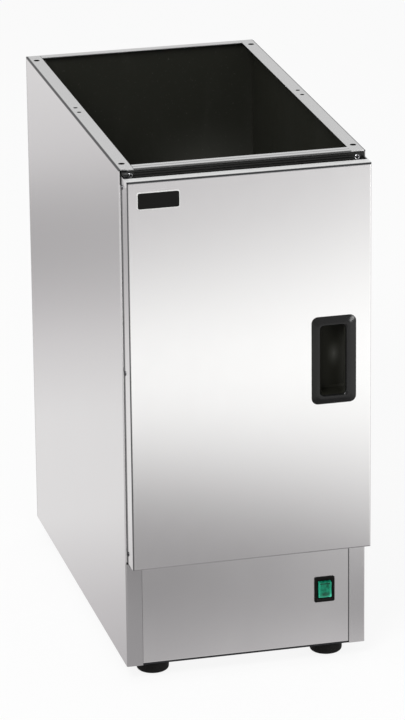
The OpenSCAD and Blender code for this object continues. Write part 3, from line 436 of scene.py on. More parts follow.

# Painted shade along the door's folds at its top, left and bottom, and a painted shadow in the gap
# where it meets the cabinet.
door_shade_lines = [
    (("y", door_low.y), ("z", door_high.z), fold_full, fold_fade, fold_shade),
    (("x", door_low.x), ("y", door_low.y), 0.9 * mm, 1.1 * mm, 0.9),
    (("y", door_low.y), ("z", door_low.z), 0.8 * mm, fold_fade, 0.5),
    (("x", door_low.x), ("y", side_low.y), 8.5 * mm, 1 * mm, 0.97),
]
# A painted highlight along the door's top return, a little rougher.
door_highlight_lines = [(("y", door_low.y + 8.5 * mm), ("z", door_high.z), 8 * mm, 1 * mm, 0.25)]

# Painted shade along the sides' top folds, and round the holes in their flanges.
side_edges = (side_low.x, right_high.x)
side_shade_lines = [(("x", x), ("z", side_high.z), fold_full, fold_fade, fold_shade) for x in side_edges]
hole_x, hole_y = 141 * mm, (side_low.y + back_y) / 2
corner_reach, corner_r = 236.5 * mm, 3.5 * mm
middle_reach, middle_r = 10.25 * mm, 2.3 * mm
hole_rim = 0.3 * mm
for x in (-hole_x, hole_x):
    for reach, radius in ((corner_reach, corner_r), (middle_reach, middle_r)):
        for y in (hole_y - reach, hole_y + reach):
            side_shade_lines.append((("x", x), ("y", y), radius + hole_rim, hole_rim, 1.0))
# Painted shade on the left side's front return below the door.
left_shade = [(side_low.y, door_low.z, 0.32)]

# Painted shade along the fascia's right edge and softly over its left side; painted highlights along
# its hem and softly over its right side.
fascia_shade_lines = [
    (("x", fascia_high.x), ("y", fascia_low.y), 0.6 * mm, 0.6 * mm, 0.9),
    (("x", fascia_low.x), ("z", fascia_low.z + 80 * mm), 10 * mm, 120 * mm, 0.22),
]
fascia_highlight_lines = [
    (("y", fascia_low.y), ("z", fascia_low.z), 1.2 * mm, 0.6 * mm, 0.0),
    (("x", fascia_high.x - 20 * mm), ("z", fascia_low.z + 45 * mm), 20 * mm, 90 * mm, 0.0),
]

# Painted shade on the pan's front hem under the fascia, and the tones across the rail, from its front
# edge to its rear one: painted highlights and shade of its two beads.
pan_shade_lines = [(("y", pan_low.y), ("z", pan_low.z), 3 * mm, 1 * mm, 0.97)]
rail_bead_tones = [
    (0.0, 0.2), (0.07, 0.35), (0.12, 1.1), (0.38, 1.08),
    (0.45, 0.58), (0.55, 0.58), (0.62, 1.1), (1.0, 1.12),
]
rail_bead_stops = [(across, grey(value)) for across, value in rail_bead_tones]
rail_bead_shading = (rail_low.y, rail_high.y - rail_low.y, rail_bead_stops)

print("dark lines: door", len(door_shade_lines), "sides", len(side_shade_lines), "fascia", len(fascia_shade_lines))

# %% [markdown]
# Each sheet gets its own steel, because each has its own lines and its own direction of grain. One steel
# for all would be shorter, but a line would then show on every sheet that it passes. The door is the
# smoothest and mirrors the table best; the pan underneath is the dullest.

# %% Steel on each sheet
door_steel = brushed_steel("door_steel", FRONT_GRAIN, 0.2, door_shade_lines, highlight_lines=door_highlight_lines)
left_steel = brushed_steel("left_steel", SIDE_GRAIN, 0.25, side_shade_lines, shaded=left_shade)
right_steel = brushed_steel("right_steel", SIDE_GRAIN, 0.25, side_shade_lines)
fascia_steel = brushed_steel("fascia_steel", FRONT_GRAIN, 0.24, fascia_shade_lines, highlight_lines=fascia_highlight_lines)
panel_steel = brushed_steel("panel_steel", FRONT_GRAIN, 0.3)
pan_steel = brushed_steel("pan_steel", RAIL_GRAIN, 0.5, pan_shade_lines)
rail_steel = brushed_steel("rail_steel", RAIL_GRAIN, 0.22, contrast=0.1, bead_shading=rail_bead_shading)
wear(door_steel, "door_outer_panel")
wear(left_steel, "left_side_panel")
wear(right_steel, "right_side_panel")
wear(fascia_steel, "control_fascia")
wear(panel_steel, "door_inner_panel", "back_panel")
wear(pan_steel, "base_pan")
wear(rail_steel, "front_top_rail")
print("door face", [round(v, 4) for v in door_low], [round(v, 4) for v in door_high])

# %% [markdown]
# The fittings are plainer metals. Zinc plate has a crystal mottle and a bluish cast, brass shows turning
# marks, and a heated sheath goes brown and violet in patches. Each could have a tree of its own, but
# they differ only in colour, size and gloss, so one function makes them all: a Principled shader
# whose colour and roughness come from two noises of the right size.

# %% Plated, brass and heat-stained metals
def mottled_metal(name, dark, light, size, roughness, swing):
    """size is the count of patches in a metre, and swing how far they change the roughness."""
    fine = size * 9
    finish, at, shader = new_finish(name)
    place = axes(at)[0]
    patch = noise(at, place, (size, size, size), detail=5.0, rough=0.65)
    grain = noise(at, place, (fine, fine, fine), detail=2.0)
    tone = at.mix(patch.sharpened(2.4), dark, light)
    dress(at, shader, tone, roughness + patch.swing(swing) + grain.swing(0.08))
    raise_grain(at, shader, grain, strength=0.08, distance=0.3 * mm)
    shader.inputs["Metallic"].default_value = 1.0
    return finish


zinc = mottled_metal("zinc_plate", (0.50, 0.52, 0.55, 1), (0.74, 0.75, 0.76, 1), 240.0, 0.32, 0.18)
brass = mottled_metal("turned_brass", (0.48, 0.31, 0.10, 1), (0.78, 0.57, 0.24, 1), 300.0, 0.30, 0.2)
bright_wire = mottled_metal("bright_wire", (0.70, 0.70, 0.71, 1), (0.86, 0.86, 0.87, 1), 160.0, 0.24, 0.1)
sheath = mottled_metal("heated_sheath", (0.20, 0.15, 0.13, 1), (0.44, 0.40, 0.38, 1), 45.0, 0.45, 0.25)
blackened = mottled_metal("black_plate", (0.012, 0.012, 0.013, 1), (0.16, 0.16, 0.17, 1), 240.0, 0.24, 0.2)
screw_plate = mottled_metal("screw_plate", (0.05, 0.05, 0.052, 1), (0.62, 0.62, 0.63, 1), 330.0, 0.2, 0.2)
wear(zinc, "left_runner", "right_runner", "hinge_stile", "foot_nuts", "catch_plate", "element_supports")
wear(brass, "element_nuts", "earth_stud", "switch_blades", "hinge_bushes")
wear(blackened, "hinge_pins")
print("metals", [finish.name for finish in (zinc, brass, bright_wire, sheath, blackened, screw_plate)])

# %% [markdown]
# Enamel, paint, rubber and moulded plastic are nearly the same black here. One flat black would be
# simpler, but they would then look alike: what tells them apart is their gloss and the size of their
# grain. One function makes them all, with bumps of the right size, smears that change the gloss, pale
# specks of dust, and pale oval patches: painted sheen in the handle's recess, a paler patch on the rear
# wall.

# %% Making a black
DUST_AND_SHEEN = (0.17, 0.17, 0.155, 1.0)
SMEAR_SIZE, SPECK_SIZE = (22.0, 22.0, 6.0), (480.0, 480.0, 480.0)
SPECK_LEVEL, SMEAR_LEVEL, SMEAR_DUST = 0.70, 0.52, 0.35


def black_finish(name, tone, grain, roughness, dust, height, shine=0.22, patches=()):
    """grain is the count of bumps in a metre, height their depth in metres, dust how pale the specks are
    and shine the strength of the mirror image. Each pale oval patch has a middle in x and z, half a
    width, half a height and a strength."""
    finish, at, shader = new_finish(name)
    place, where = axes(at)
    bumps = noise(at, place, (grain, grain, grain), detail=3.0, rough=0.6)
    smear = noise(at, place, SMEAR_SIZE, detail=4.0, rough=0.7)
    specks = noise(at, place, SPECK_SIZE, detail=1.0)
    spots = specks.above(SPECK_LEVEL, 9.0) * dust
    haze = smear.above(SMEAR_LEVEL, 2.0) * (dust * SMEAR_DUST)
    colour = at.mix((spots + haze).clamped(), tone, DUST_AND_SHEEN)
    # Each patch mixes towards the pale colour: painted sheen in the handle's recess, a paler patch on the
    # rear wall.
    for (middle_x, middle_z), half_w, half_h, strength in patches:
        x = (where["x"] - middle_x) / half_w
        z = (where["z"] - middle_z) / half_h
        patch = (1.0 - (x * x + z * z) ** 0.5).clamped()
        colour = at.mix(patch * patch * strength, colour, DUST_AND_SHEEN)
    dress(at, shader, colour, roughness + smear.swing(0.2) + bumps.swing(0.12))
    raise_grain(at, shader, bumps, strength=0.25, distance=height)
    shader.inputs["Specular IOR Level"].default_value = shine
    return finish


print("black finish ready, dust colour", DUST_AND_SHEEN)

# %% [markdown]
# The inside is black enamel, a glass coat with a slight orange peel. Its walls could share one enamel,
# but the rear wall has more dust, a paler patch and a paler tone of painted light, and the right wall's
# enamel is painted a little paler than the left's, as painted light. The feet and the strip are rubber,
# the brackets satin paint; the switch frame and the gland are moulded plastic with a spark-eroded grain.
# The handle has two blacks: a glossy rim, and a dull recess with pale patches of painted sheen.

# %% Blacks on each piece
PEEL, PAINT_GRAIN, RUBBER_GRAIN, MOULD_GRAIN = 420.0, 900.0, 1300.0, 2300.0
liner_low, liner_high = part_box("rear_liner")
# A paler oval patch on the rear wall.
rear_wall_pale_patch = [((liner_low.x + 235 * mm, liner_high.z - 180 * mm), 125 * mm, 95 * mm, 0.34)]
handle_low, handle_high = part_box("door_handle")
handle_middle = (handle_low + handle_high) / 2
# Painted sheen: a pale patch in the middle of the handle's recess, and a long pale strip along its
# right-hand side.
recess_painted_sheen = [
    ((handle_middle.x + 5.5 * mm, handle_middle.z + 1 * mm), 11 * mm, 22 * mm, 0.3),
    ((handle_middle.x + 19 * mm, handle_middle.z), 12 * mm, 150 * mm, 0.2),
]
enamel = black_finish("black_enamel", (0.0175, 0.018, 0.0138, 1), PEEL, 0.42, 0.16, 0.0002)
# The rear wall's enamel has more dust, and its paler tone is painted light.
dusty_painted_light_enamel = black_finish(
    "dusty_painted_light_enamel", (0.0188, 0.0193, 0.0149, 1), PEEL, 0.42, 0.22, 0.0002, patches=rear_wall_pale_patch)
# Painted light: the right wall's enamel is a little paler than the left's.
painted_light_enamel = black_finish("painted_light_enamel", (0.0238, 0.0243, 0.0188, 1), PEEL, 0.42, 0.2, 0.0002)
paint = black_finish("satin_black", (0.013, 0.013, 0.013, 1), PAINT_GRAIN, 0.42, 0.04, 0.0001)
rubber = black_finish("black_rubber", (0.007, 0.007, 0.0066, 1), RUBBER_GRAIN, 0.62, 0.05, 0.0001, 0.16)
seal_rubber = black_finish("seal_rubber", (0.014, 0.014, 0.0132, 1), RUBBER_GRAIN, 0.45, 0.05, 0.0001, 0.28)
plastic = black_finish("moulded_black", (0.0035, 0.0035, 0.003, 1), MOULD_GRAIN, 0.36, 0.02, 0.00008, 0.13)
rim_black = black_finish("handle_black", (0.0062, 0.0062, 0.0062, 1), MOULD_GRAIN, 0.2, 0.02, 0.00003, 0.31)
recess_black = black_finish(
    "recess_black", (0.0125, 0.0125, 0.0094, 1), MOULD_GRAIN, 0.6, 0.02, 0.00008, 0.05, recess_painted_sheen)
wear(enamel, "cavity_floor", "left_liner", "element_guard")
wear(dusty_painted_light_enamel, "rear_liner")
wear(painted_light_enamel, "right_liner")
wear(paint, "upper_hinge_bracket", "lower_hinge_bracket")
wear(rubber, "door_buffers")
wear(plastic, "cable_gland", "gland_locknut", "magnetic_catch")
print("blacks", [finish.name for finish in (enamel, paint, rubber, seal_rubber, plastic, recess_black)])

# %% [markdown]
# Three stuffs are seldom seen, behind the fascia and inside the door: the ceramic of the terminal block
# and the thermostat, the sleeves of the wires, and the wool that keeps the door's face cool. They
# still get a finish each: fired clay with dark grit, a braided sleeve, and pressed fibres. A braid or
# loose fibres could be modelled, but at this size one stretched noise with a strong bump is enough.

# %% Clay, sleeve and wool
def rough_stuff(name, dark, light, stretch, roughness, height):
    """stretch is the count of grains in a metre along each axis, and height their depth in metres."""
    finish, at, shader = new_finish(name)
    fibre = noise(at, axes(at)[0], stretch, detail=5.0, rough=0.7)
    dress(at, shader, at.mix(fibre.sharpened(2.6), dark, light), roughness + fibre.swing(0.2))
    raise_grain(at, shader, fibre, strength=0.6, distance=height)
    return finish


GRIT, BRAID, FIBRES = (700.0, 700.0, 700.0), (1500.0, 1500.0, 1500.0), (160.0, 900.0, 160.0)
clay = rough_stuff("fired_clay", (0.52, 0.47, 0.39, 1), (0.84, 0.80, 0.72, 1), GRIT, 0.75, 0.0002)
sleeve = rough_stuff("braided_sleeve", (0.20, 0.03, 0.015, 1), (0.46, 0.10, 0.05, 1), BRAID, 0.6, 0.0003)
wool = rough_stuff("pressed_wool", (0.36, 0.28, 0.12, 1), (0.70, 0.60, 0.36, 1), FIBRES, 0.95, 0.001)
wear(clay, "terminal_block", "thermostat")
wear(sleeve, "wiring_loom")
wear(wool, "door_insulation")
print("hidden stuffs", clay.name, sleeve.name, wool.name)

# %% [markdown]
# The rocker is a clear green lens over a small lamp. Seen from outside it is brightest along its rim,
# where the moulding is thick, and uneven in the middle, where the lamp and its wires lie behind. A dark
# line runs along the top, a dark patch lies below the middle, and the lower right corner shines. Clear
# glass over a real lamp would show all this by itself, with much noise. Here the bright rim is painted
# light, the line along the top painted shade and the shining corner a painted highlight; they and the
# dark patch are found by distance from the lens's own middle, and the glow is a weak emission.

# %% Green lens
rocker_low, rocker_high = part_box("switch_rocker")
rocker_middle = (rocker_low + rocker_high) / 2
LENS_HALF_W, LENS_HALF_H = 8.0 * mm, 10.6 * mm
INNER_SIZE = (320.0, 320.0, 240.0)
TOP_SHADE_Z, PATCH_Z = 0.77, -0.52
RIM_START, TOP_SHADE_END, CORNER_START = 0.66, 0.86, 1.35
GREEN_DEEP, GREEN_BODY = (0.0015, 0.07, 0.037, 1), (0.008, 0.21, 0.12, 1)
# The rim colour is painted light, the dark one painted shade along the top and a darker patch, the shine a
# painted highlight.
GREEN_RIM, GREEN_DARK, GREEN_SHINE = (0.02, 0.36, 0.22, 1), (0.002, 0.02, 0.012, 1), (0.08, 0.62, 0.42, 1)


def lens_finish():
    finish, at, shader = new_finish("green_lens")
    place, where = axes(at)
    x = (where["x"] - rocker_middle.x) / LENS_HALF_W
    z = (where["z"] - rocker_middle.z) / LENS_HALF_H
    across = at.maths("ABSOLUTE", x)
    edge = at.maths("MAXIMUM", across, 0.0 - z)
    # Painted light along the rim.
    rim = edge.above(RIM_START, 4.0)
    # Painted shade along the top.
    top_shade = (1.6 - at.maths("ABSOLUTE", z - TOP_SHADE_Z) * 18.0).clamped() * across.below(TOP_SHADE_END, 8.0)
    # A darker patch below the middle.
    down = z - PATCH_Z
    patch = (1.3 - (x * x * 4.0 + down * down * 16.0)).clamped()
    # A painted highlight on the lower right corner.
    corner = (x - z).above(CORNER_START, 4.0)
    inner = noise(at, place, INNER_SIZE, detail=3.0, rough=0.6)
    colour = at.mix(inner.sharpened(2.6), GREEN_DEEP, GREEN_BODY)
    colour = at.mix(rim * 0.6, colour, GREEN_RIM)
    colour = at.mix((top_shade * 0.95 + patch * 0.6).clamped(), colour, GREEN_DARK)
    colour = at.mix(corner * 0.6, colour, GREEN_SHINE)
    dress(at, shader, colour, 0.14 + inner.swing(0.1))
    at.tree.links.new(colour.socket, shader.inputs["Emission Color"])
    shader.inputs["Emission Strength"].default_value = 0.12
    shader.inputs["Coat Weight"].default_value = 0.12
    shader.inputs["Specular IOR Level"].default_value = 0.3
    return finish


lens = lens_finish()
print("lens middle", [round(v, 4) for v in rocker_middle])

# %% [markdown]
# The mouldings could be cubes with Bevel modifiers, but their edges round off by different amounts. They
# are made by lofting instead: a row of rounded rectangles, each with its own size and depth, joined
# by quads. One function draws a rounded rectangle, another skins the row and a third stands the row
# on a face, so the handle, the switch frame and the blank plate are only lists of sections. Smooth
# shading with sharp edges above an angle keeps flat faces flat.

# %% Lofting
CORNER_STEPS = 9
DOUBLES = 0.001 * mm
CORNERS = ((1, 1, 0), (-1, 1, 90), (-1, -1, 180), (1, -1, 270))


def rounded_ring(w, h, r, shift=0.0):
    points = []
    for cx, cz, start in CORNERS:
        for step in range(CORNER_STEPS):
            angle = math.radians(start + 90 * step / (CORNER_STEPS - 1))
            x = cx * (w / 2 - r) + r * math.cos(angle)
            z = cz * (h / 2 - r) + r * math.sin(angle)
            points.append((x + shift, z))
    return points


def skin(bm, rings):
    """Joins rings of equal length by quads and closes both ends."""
    rows = [[bm.verts.new(point) for point in ring] for ring in rings]
    for lower, upper in zip(rows, rows[1:]):
        count = len(lower)
        for i in range(count):
            j = (i + 1) % count
            bm.faces.new((lower[i], lower[j], upper[j], upper[i]))
    bm.faces.new(rows[0])
    bm.faces.new(rows[-1])
    return rows


def loft(bm, middle, front, sections):
    """A section is a width, a height, a corner radius, the height above the face at y = front and,
    where it is off the middle, a shift along X, all in millimetres."""
    rings = []
    for w, h, r, out, *shift in sections:
        flat = rounded_ring(w, h, r, *shift)
        rings.append([(middle.x + x * mm, front - out * mm, middle.z + z * mm) for x, z in flat])
    return skin(bm, rings)


def finish_mesh(name, bm, material, sharp):
    """Turns a bmesh into an object whose edges are sharp from this angle on, in degrees."""
    bmesh.ops.remove_doubles(bm, verts=bm.verts, dist=DOUBLES)
    bmesh.ops.recalc_face_normals(bm, faces=bm.faces)
    mesh = bpy.data.meshes.new(name)
    bm.to_mesh(mesh)
    bm.free()
    mesh.shade_smooth()
    mesh.set_sharp_from_angle(angle=math.radians(sharp))
    mesh.materials.append(material)
    piece = bpy.data.objects.new(name, mesh)
    scene.collection.objects.link(piece)
    return piece


print("loft helpers ready, points in a ring", len(rounded_ring(2, 2, 1)))

# %% [markdown]
# The handle is a black moulding let into the door: a rim that slopes up to the mouth, a deep recess, and
# a finger space behind the right-hand lip. A Boolean could cut the recess, but the lip would lose
# its round edge. As a loft, its sections run from the back over the outside of the rim, across the
# lip, down the wall and out under the lip to the floor. The faces of the recess get the duller black.

# %% Recessed handle
RIM_ABOVE = 0.8 * mm
face_y = door_low.y
w = (handle_high.x - handle_low.x) / mm
h = (handle_high.z - handle_low.z) / mm
sections = [
    (w - 6, h - 7, 6.0, -21.9),
    (w - 6, h - 7, 6.0, -0.6),
    (w, h, 8.0, 0.0),
    (w, h, 8.0, 0.35),
    (w - 0.7, h - 0.7, 7.7, 0.8),
    (w - 11, h - 11, 6.4, 2.6),
    (w - 15, h - 15.5, 6.0, 2.95, -0.2),
    (w - 20.5, h - 20, 5.6, 2.9, -0.9),
    (w - 22.5, h - 21.5, 5.2, 2.2, -1.2),
    (w - 24, h - 23, 5.0, 0.6, -1.4),
    (w - 25.5, h - 25, 5.0, -4.0, -1.4),
    (w - 18, h - 25, 5.0, -4.4, 3.5),
    (w - 18.5, h - 29, 5.0, -17.5, 3.75),
    (w - 22, h - 33, 4.0, -19.6, 3.5),
]
bm = bmesh.new()
loft(bm, handle_middle, face_y, sections)
handle = finish_mesh("handle_moulding", bm, rim_black, sharp=30)
handle.data.materials.append(recess_black)
for face in handle.data.polygons:
    face.material_index = 1 if face.center.y > face_y - RIM_ABOVE else 0
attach(handle, "door")
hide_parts("door_handle")
print("handle", round(w, 1), "x", round(h, 1), "mm, faces", len(handle.data.polygons))

# %% [markdown]
# The black plate at the top of the door is thin, with a pale raised edge and a plain face. Two materials
# could colour it. The edge is marked by a vertex attribute instead, which one material mixes between
# two colours, so that the pale edge fades into the face.

# %% Blank plate
PLATE_W, PLATE_H = 52.0, 21.5
PLATE_X, PLATE_DOWN = -110.5 * mm, 23.6 * mm
PLATE_DEEP, PLATE_FACE = (0.003, 0.003, 0.003, 1), (0.008, 0.008, 0.007, 1)
PLATE_RIM = (0.62, 0.62, 0.61, 1)
PLATE_GRAIN = (900.0, 900.0, 900.0)


def plate_finish():
    finish, at, shader = new_finish("blank_plate")
    rim = at.node("ShaderNodeAttribute", {"attribute_name": "rim"}, out="Fac")
    grain = noise(at, axes(at)[0], PLATE_GRAIN)
    face = at.mix(grain, PLATE_DEEP, PLATE_FACE)
    dress(at, shader, at.mix(rim, face, PLATE_RIM), 0.34 + grain.swing(0.15))
    shader.inputs["Specular IOR Level"].default_value = 0.1
    return finish


plate_middle = Vector((PLATE_X, face_y, door_high.z - PLATE_DOWN))
sections = [
    (PLATE_W, PLATE_H, 3.0, 0.05),
    (PLATE_W, PLATE_H, 3.0, 0.6),
    (PLATE_W - 0.6, PLATE_H - 0.6, 2.8, 0.95),
    (PLATE_W - 1.9, PLATE_H - 1.9, 2.3, 1.0),
    (PLATE_W - 2.3, PLATE_H - 2.3, 2.2, 0.85),
    (PLATE_W - 6, PLATE_H - 6, 1.5, 0.85),
]
pale_sections = 4
bm = bmesh.new()
layer = bm.verts.layers.float.new("rim")
for k, row in enumerate(loft(bm, plate_middle, face_y, sections)):
    for vert in row:
        vert[layer] = 1 if k < pale_sections else 0
badge = finish_mesh("blank_plate", bm, plate_finish(), sharp=30)
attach(badge, "door")
print("blank plate", PLATE_W, "x", PLATE_H, "mm")

# %% [markdown]
# The switch has two mouldings. Its frame could be a box with a hole cut in it, but its bezel has the same
# soft edges as the handle, so it is lofted too: the sections run from the back of the housing behind
# the fascia, out over the bezel, and down into the well that the rocker tips in.

# %% Switch frame
HOUSING_W, HOUSING_H = 22.0, 26.8
frame_low, frame_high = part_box("switch_body")
fascia_y = fascia_low.y
switch_middle = Vector((rocker_middle.x, fascia_y, rocker_middle.z))
w = (frame_high.x - frame_low.x) / mm
h = (frame_high.z - frame_low.z) / mm
depth = (frame_high.y - fascia_y) / mm
sections = [
    (HOUSING_W, HOUSING_H, 0.6, -depth),
    (HOUSING_W, HOUSING_H, 0.6, 0.0),
    (w, h, 2.0, 0.0),
    (w, h, 2.0, 1.1),
    (w - 0.5, h - 0.5, 1.9, 1.6),
    (w - 1.6, h - 1.6, 1.6, 1.95),
    (20.4, 25.4, 1.2, 1.98),
    (18.9, 24.4, 1.0, 1.7),
    (16.7, 22.5, 0.5, 1.0),
    (16.6, 22.4, 0.5, -12.1),
]
bm = bmesh.new()
loft(bm, switch_middle, fascia_y, sections)
switch_frame = finish_mesh("switch_frame", bm, plastic, sharp=30)
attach(switch_frame, "cabinet")
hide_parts("switch_body")
print("switch frame", round(w, 1), "x", round(h, 1), "mm, faces", len(switch_frame.data.polygons))

# %% [markdown]
# The rocker's side outline is a circle about its pins, cut by a shallow dish, so it clears the frame at
# every angle. The lens is that outline drawn along X, a touch smaller at each end so that its edges
# catch light. A Bevel modifier could round the ends as well, but it would also blunt the dish's tips.

# %% Rocker
PIN_Y, LENS_R = 1.0, 10.9
DISH, DISH_RISE, DISH_POWER, TIP_GAP = 3.2, 1.0, 1.6, 0.25
FACE_STEPS, BACK_STEPS, BACK_START, BACK_END = 20, 9, 2, 120

# Each slice is a place along X in millimetres and a scale about the pins.
LENS_SLICES = ((-8.0, 0.95), (-7.8, 0.98), (-7.4, 1.0), (7.4, 1.0), (7.8, 0.98), (8.0, 0.95))


def rocker_profile():
    """Points in y and z about the switch's middle, in millimetres: the dished face, then the back."""
    tip = math.degrees(math.acos((DISH + DISH_RISE + PIN_Y) / LENS_R))
    half_face = LENS_R * math.sin(math.radians(tip)) - TIP_GAP
    face = []
    for i in range(FACE_STEPS + 1):
        k = 2 * i / FACE_STEPS - 1
        face.append((-DISH - DISH_RISE * abs(k) ** DISH_POWER, k * half_face))
    back = []
    for i in range(BACK_STEPS + 1):
        turn = math.radians(180 - tip - BACK_START - (BACK_END - tip) * i / BACK_STEPS)
        back.append((PIN_Y + LENS_R * math.cos(turn), LENS_R * math.sin(turn)))
    return face + back + [(y, -z) for y, z in reversed(back)]


profile = rocker_profile()
slices = []
for x, scale in LENS_SLICES:
    ring = []
    for y, z in profile:
        inward = PIN_Y + (y - PIN_Y) * scale
        ring.append((switch_middle.x + x * mm, fascia_y + inward * mm, switch_middle.z + z * scale * mm))
    slices.append(ring)
bm = bmesh.new()
skin(bm, slices)
rocker = finish_mesh("rocker_lens", bm, lens, sharp=40)
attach(rocker, "rocker")
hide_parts("switch_rocker")
print("rocker outline points", len(profile), "faces", len(rocker.data.polygons))

# %% [markdown]
# What repeats is left to Geometry Nodes. A tree is built here in code, with named inputs; a modifier runs
# it on a carrier mesh, and the result is copied out as a plain mesh, because instances and live
# modifiers don't survive an export. Inputs are set by socket identifier, before the first evaluation.

# %% Running a rule
def new_rule(name, inputs):
    """Starts a tree whose inputs are given as labels, each with its kind of socket."""
    tree = bpy.data.node_groups.new(name, "GeometryNodeTree")
    tree.interface.new_socket("Geometry", in_out="INPUT", socket_type="NodeSocketGeometry")
    for label, kind in inputs.items():
        tree.interface.new_socket(label, in_out="INPUT", socket_type="NodeSocket" + kind)
    tree.interface.new_socket("Geometry", in_out="OUTPUT", socket_type="NodeSocketGeometry")
    start = tree.nodes.new("NodeGroupInput")
    return {socket.name: Signal(tree, socket) for socket in start.outputs if socket.name}


def end_rule(geometry, material):
    real = geometry.node("GeometryNodeRealizeInstances", None, {0: geometry})
    dressed = real.node("GeometryNodeSetMaterial", None, {0: real, "Material": material})
    tree = geometry.tree
    tree.links.new(dressed.socket, tree.nodes.new("NodeGroupOutput").inputs[0])
    return tree


def run_rule(name, tree, carrier_mesh, values):
    carrier = bpy.data.objects.new(name + "_carrier", carrier_mesh)
    scene.collection.objects.link(carrier)
    modifier = carrier.modifiers.new("rule", "NODES")
    modifier.node_group = tree
    for item in tree.interface.items_tree:
        if item.in_out == "INPUT" and item.name in values:
            modifier[item.identifier] = values[item.name]
    graph = bpy.context.evaluated_depsgraph_get()
    mesh = bpy.data.meshes.new_from_object(carrier.evaluated_get(graph))
    mesh.name = name
    bpy.data.objects.remove(carrier)
    piece = bpy.data.objects.new(name, mesh)
    scene.collection.objects.link(piece)
    return piece


def drop(*pieces):
    for piece in pieces:
        bpy.data.objects.remove(piece)


print("a rule is made and used by", [step.__name__ for step in (new_rule, end_rule, run_rule)])

# %% [markdown]
# Some steps come back in several rules: a copy of a shape on every point, two shapes joined, a tube along
# a curve, and a straight rod. Node groups inside the tree could hold them. As functions they add the
# same nodes wherever they are called, and each rule below reads as a short recipe.

# %% Steps of a rule
def instances(points, shape, turned=()):
    sockets = {"Points": points, "Instance": shape, **dict(turned)}
    return points.node("GeometryNodeInstanceOnPoints", None, sockets)


def join(first, second):
    joined = first.node("GeometryNodeJoinGeometry", None, {0: first})
    first.tree.links.new(second.socket, joined.socket.node.inputs[0])
    return joined


def tube(curve, radius, sides):
    circle = curve.node("GeometryNodeCurvePrimitiveCircle", None, {"Resolution": sides, "Radius": radius})
    return curve.node("GeometryNodeCurveToMesh", None, {0: curve, 1: circle, "Fill Caps": True})


def straight_rod(length, axis, radius, sides):
    end = length.node("ShaderNodeCombineXYZ", None, {axis: length})
    line = length.node("GeometryNodeCurvePrimitiveLine", None, {"End": end})
    return tube(line, radius, sides)


print("ready-made steps:", [step.__name__ for step in (instances, join, tube, straight_rod)])

# %% [markdown]
# The screws are all one pattern: a low dome with a cross pressed into it, on a plain threaded shank. A
# Boolean could cut the cross, but it would leave long thin faces. Here the dome is a disc of rings
# whose height follows a formula, lowered inside the cross, and the shank is a row of rings between
# the crest and the root of the thread. Both are made one unit large and scaled later.

# %% Shapes of a screw
SPOKES, CIRCLES = 56, 12
CROSS_HALF, CROSS_REACH, CROSS_SLOPE = 0.16, 0.62, 0.10
DOME, DOME_FALL, DOME_POWER, SUNK = 0.50, 0.86, 2.6, 0.42
SHANK_RINGS, SHANK_SIDES, SHANK_CREST, SHANK_ROOT = 12, 12, 0.52, 0.44


def circle_ring(r, z, count):
    turns = [math.tau * s / count for s in range(count)]
    return [(r * math.cos(turn), r * math.sin(turn), z) for turn in turns]


def head_height(x, y, r):
    """Height of a head of radius 1: a dome, lowered where the point lies inside the cross."""
    one_arm = max(abs(x) - CROSS_HALF, abs(y) - CROSS_REACH)
    other_arm = max(abs(y) - CROSS_HALF, abs(x) - CROSS_REACH)
    inside = min(1.0, max(0.0, -min(one_arm, other_arm) / CROSS_SLOPE))
    return DOME * math.sqrt(max(0.0, 1 - DOME_FALL * r ** DOME_POWER)) - SUNK * inside


def screw_head():
    rings = [circle_ring(1.0, 0.0, SPOKES)]
    for k in range(CIRCLES, 0, -1):
        r = k / CIRCLES
        rings.append([(x, y, head_height(x, y, r)) for x, y, z in circle_ring(r, 0.0, SPOKES)])
    bm = bmesh.new()
    skin(bm, rings)
    return finish_mesh("screw_head", bm, zinc, sharp=50)


def screw_shank():
    rings = []
    for i in range(SHANK_RINGS + 1):
        r = SHANK_CREST if i % 2 else SHANK_ROOT
        rings.append(circle_ring(r, -i / SHANK_RINGS, SHANK_SIDES))
    bm = bmesh.new()
    skin(bm, rings)
    return finish_mesh("screw_shank", bm, zinc, sharp=60)


head_shape, shank_shape = screw_head(), screw_shank()
print("screw head faces", len(head_shape.data.polygons), "shank faces", len(shank_shape.data.polygons))

# %% [markdown]
# A rule puts one head and one shank on each point of a carrier mesh. Copies placed by a loop would do as
# well; with a rule the points alone can be changed. Every point carries its own direction, radius
# and length as attributes, and the rule adds a seeded random turn, because no two crosses on a real
# cabinet stop at the same angle.

# %% Rule for screws
QUARTER_TURN, SEED = 1.57, 4


def screw_points(name, screws):
    mesh = bpy.data.meshes.new(name)
    mesh.from_pydata([place for place, facing, radius, length in screws], [], [])
    facing = mesh.attributes.new("facing", "FLOAT_VECTOR", "POINT")
    size = mesh.attributes.new("size", "FLOAT_VECTOR", "POINT")
    reach = mesh.attributes.new("reach", "FLOAT_VECTOR", "POINT")
    for i, (place, way, radius, length) in enumerate(screws):
        facing.data[i].vector = way
        size.data[i].vector = (radius, radius, radius)
        reach.data[i].vector = (radius, radius, length)
    return mesh


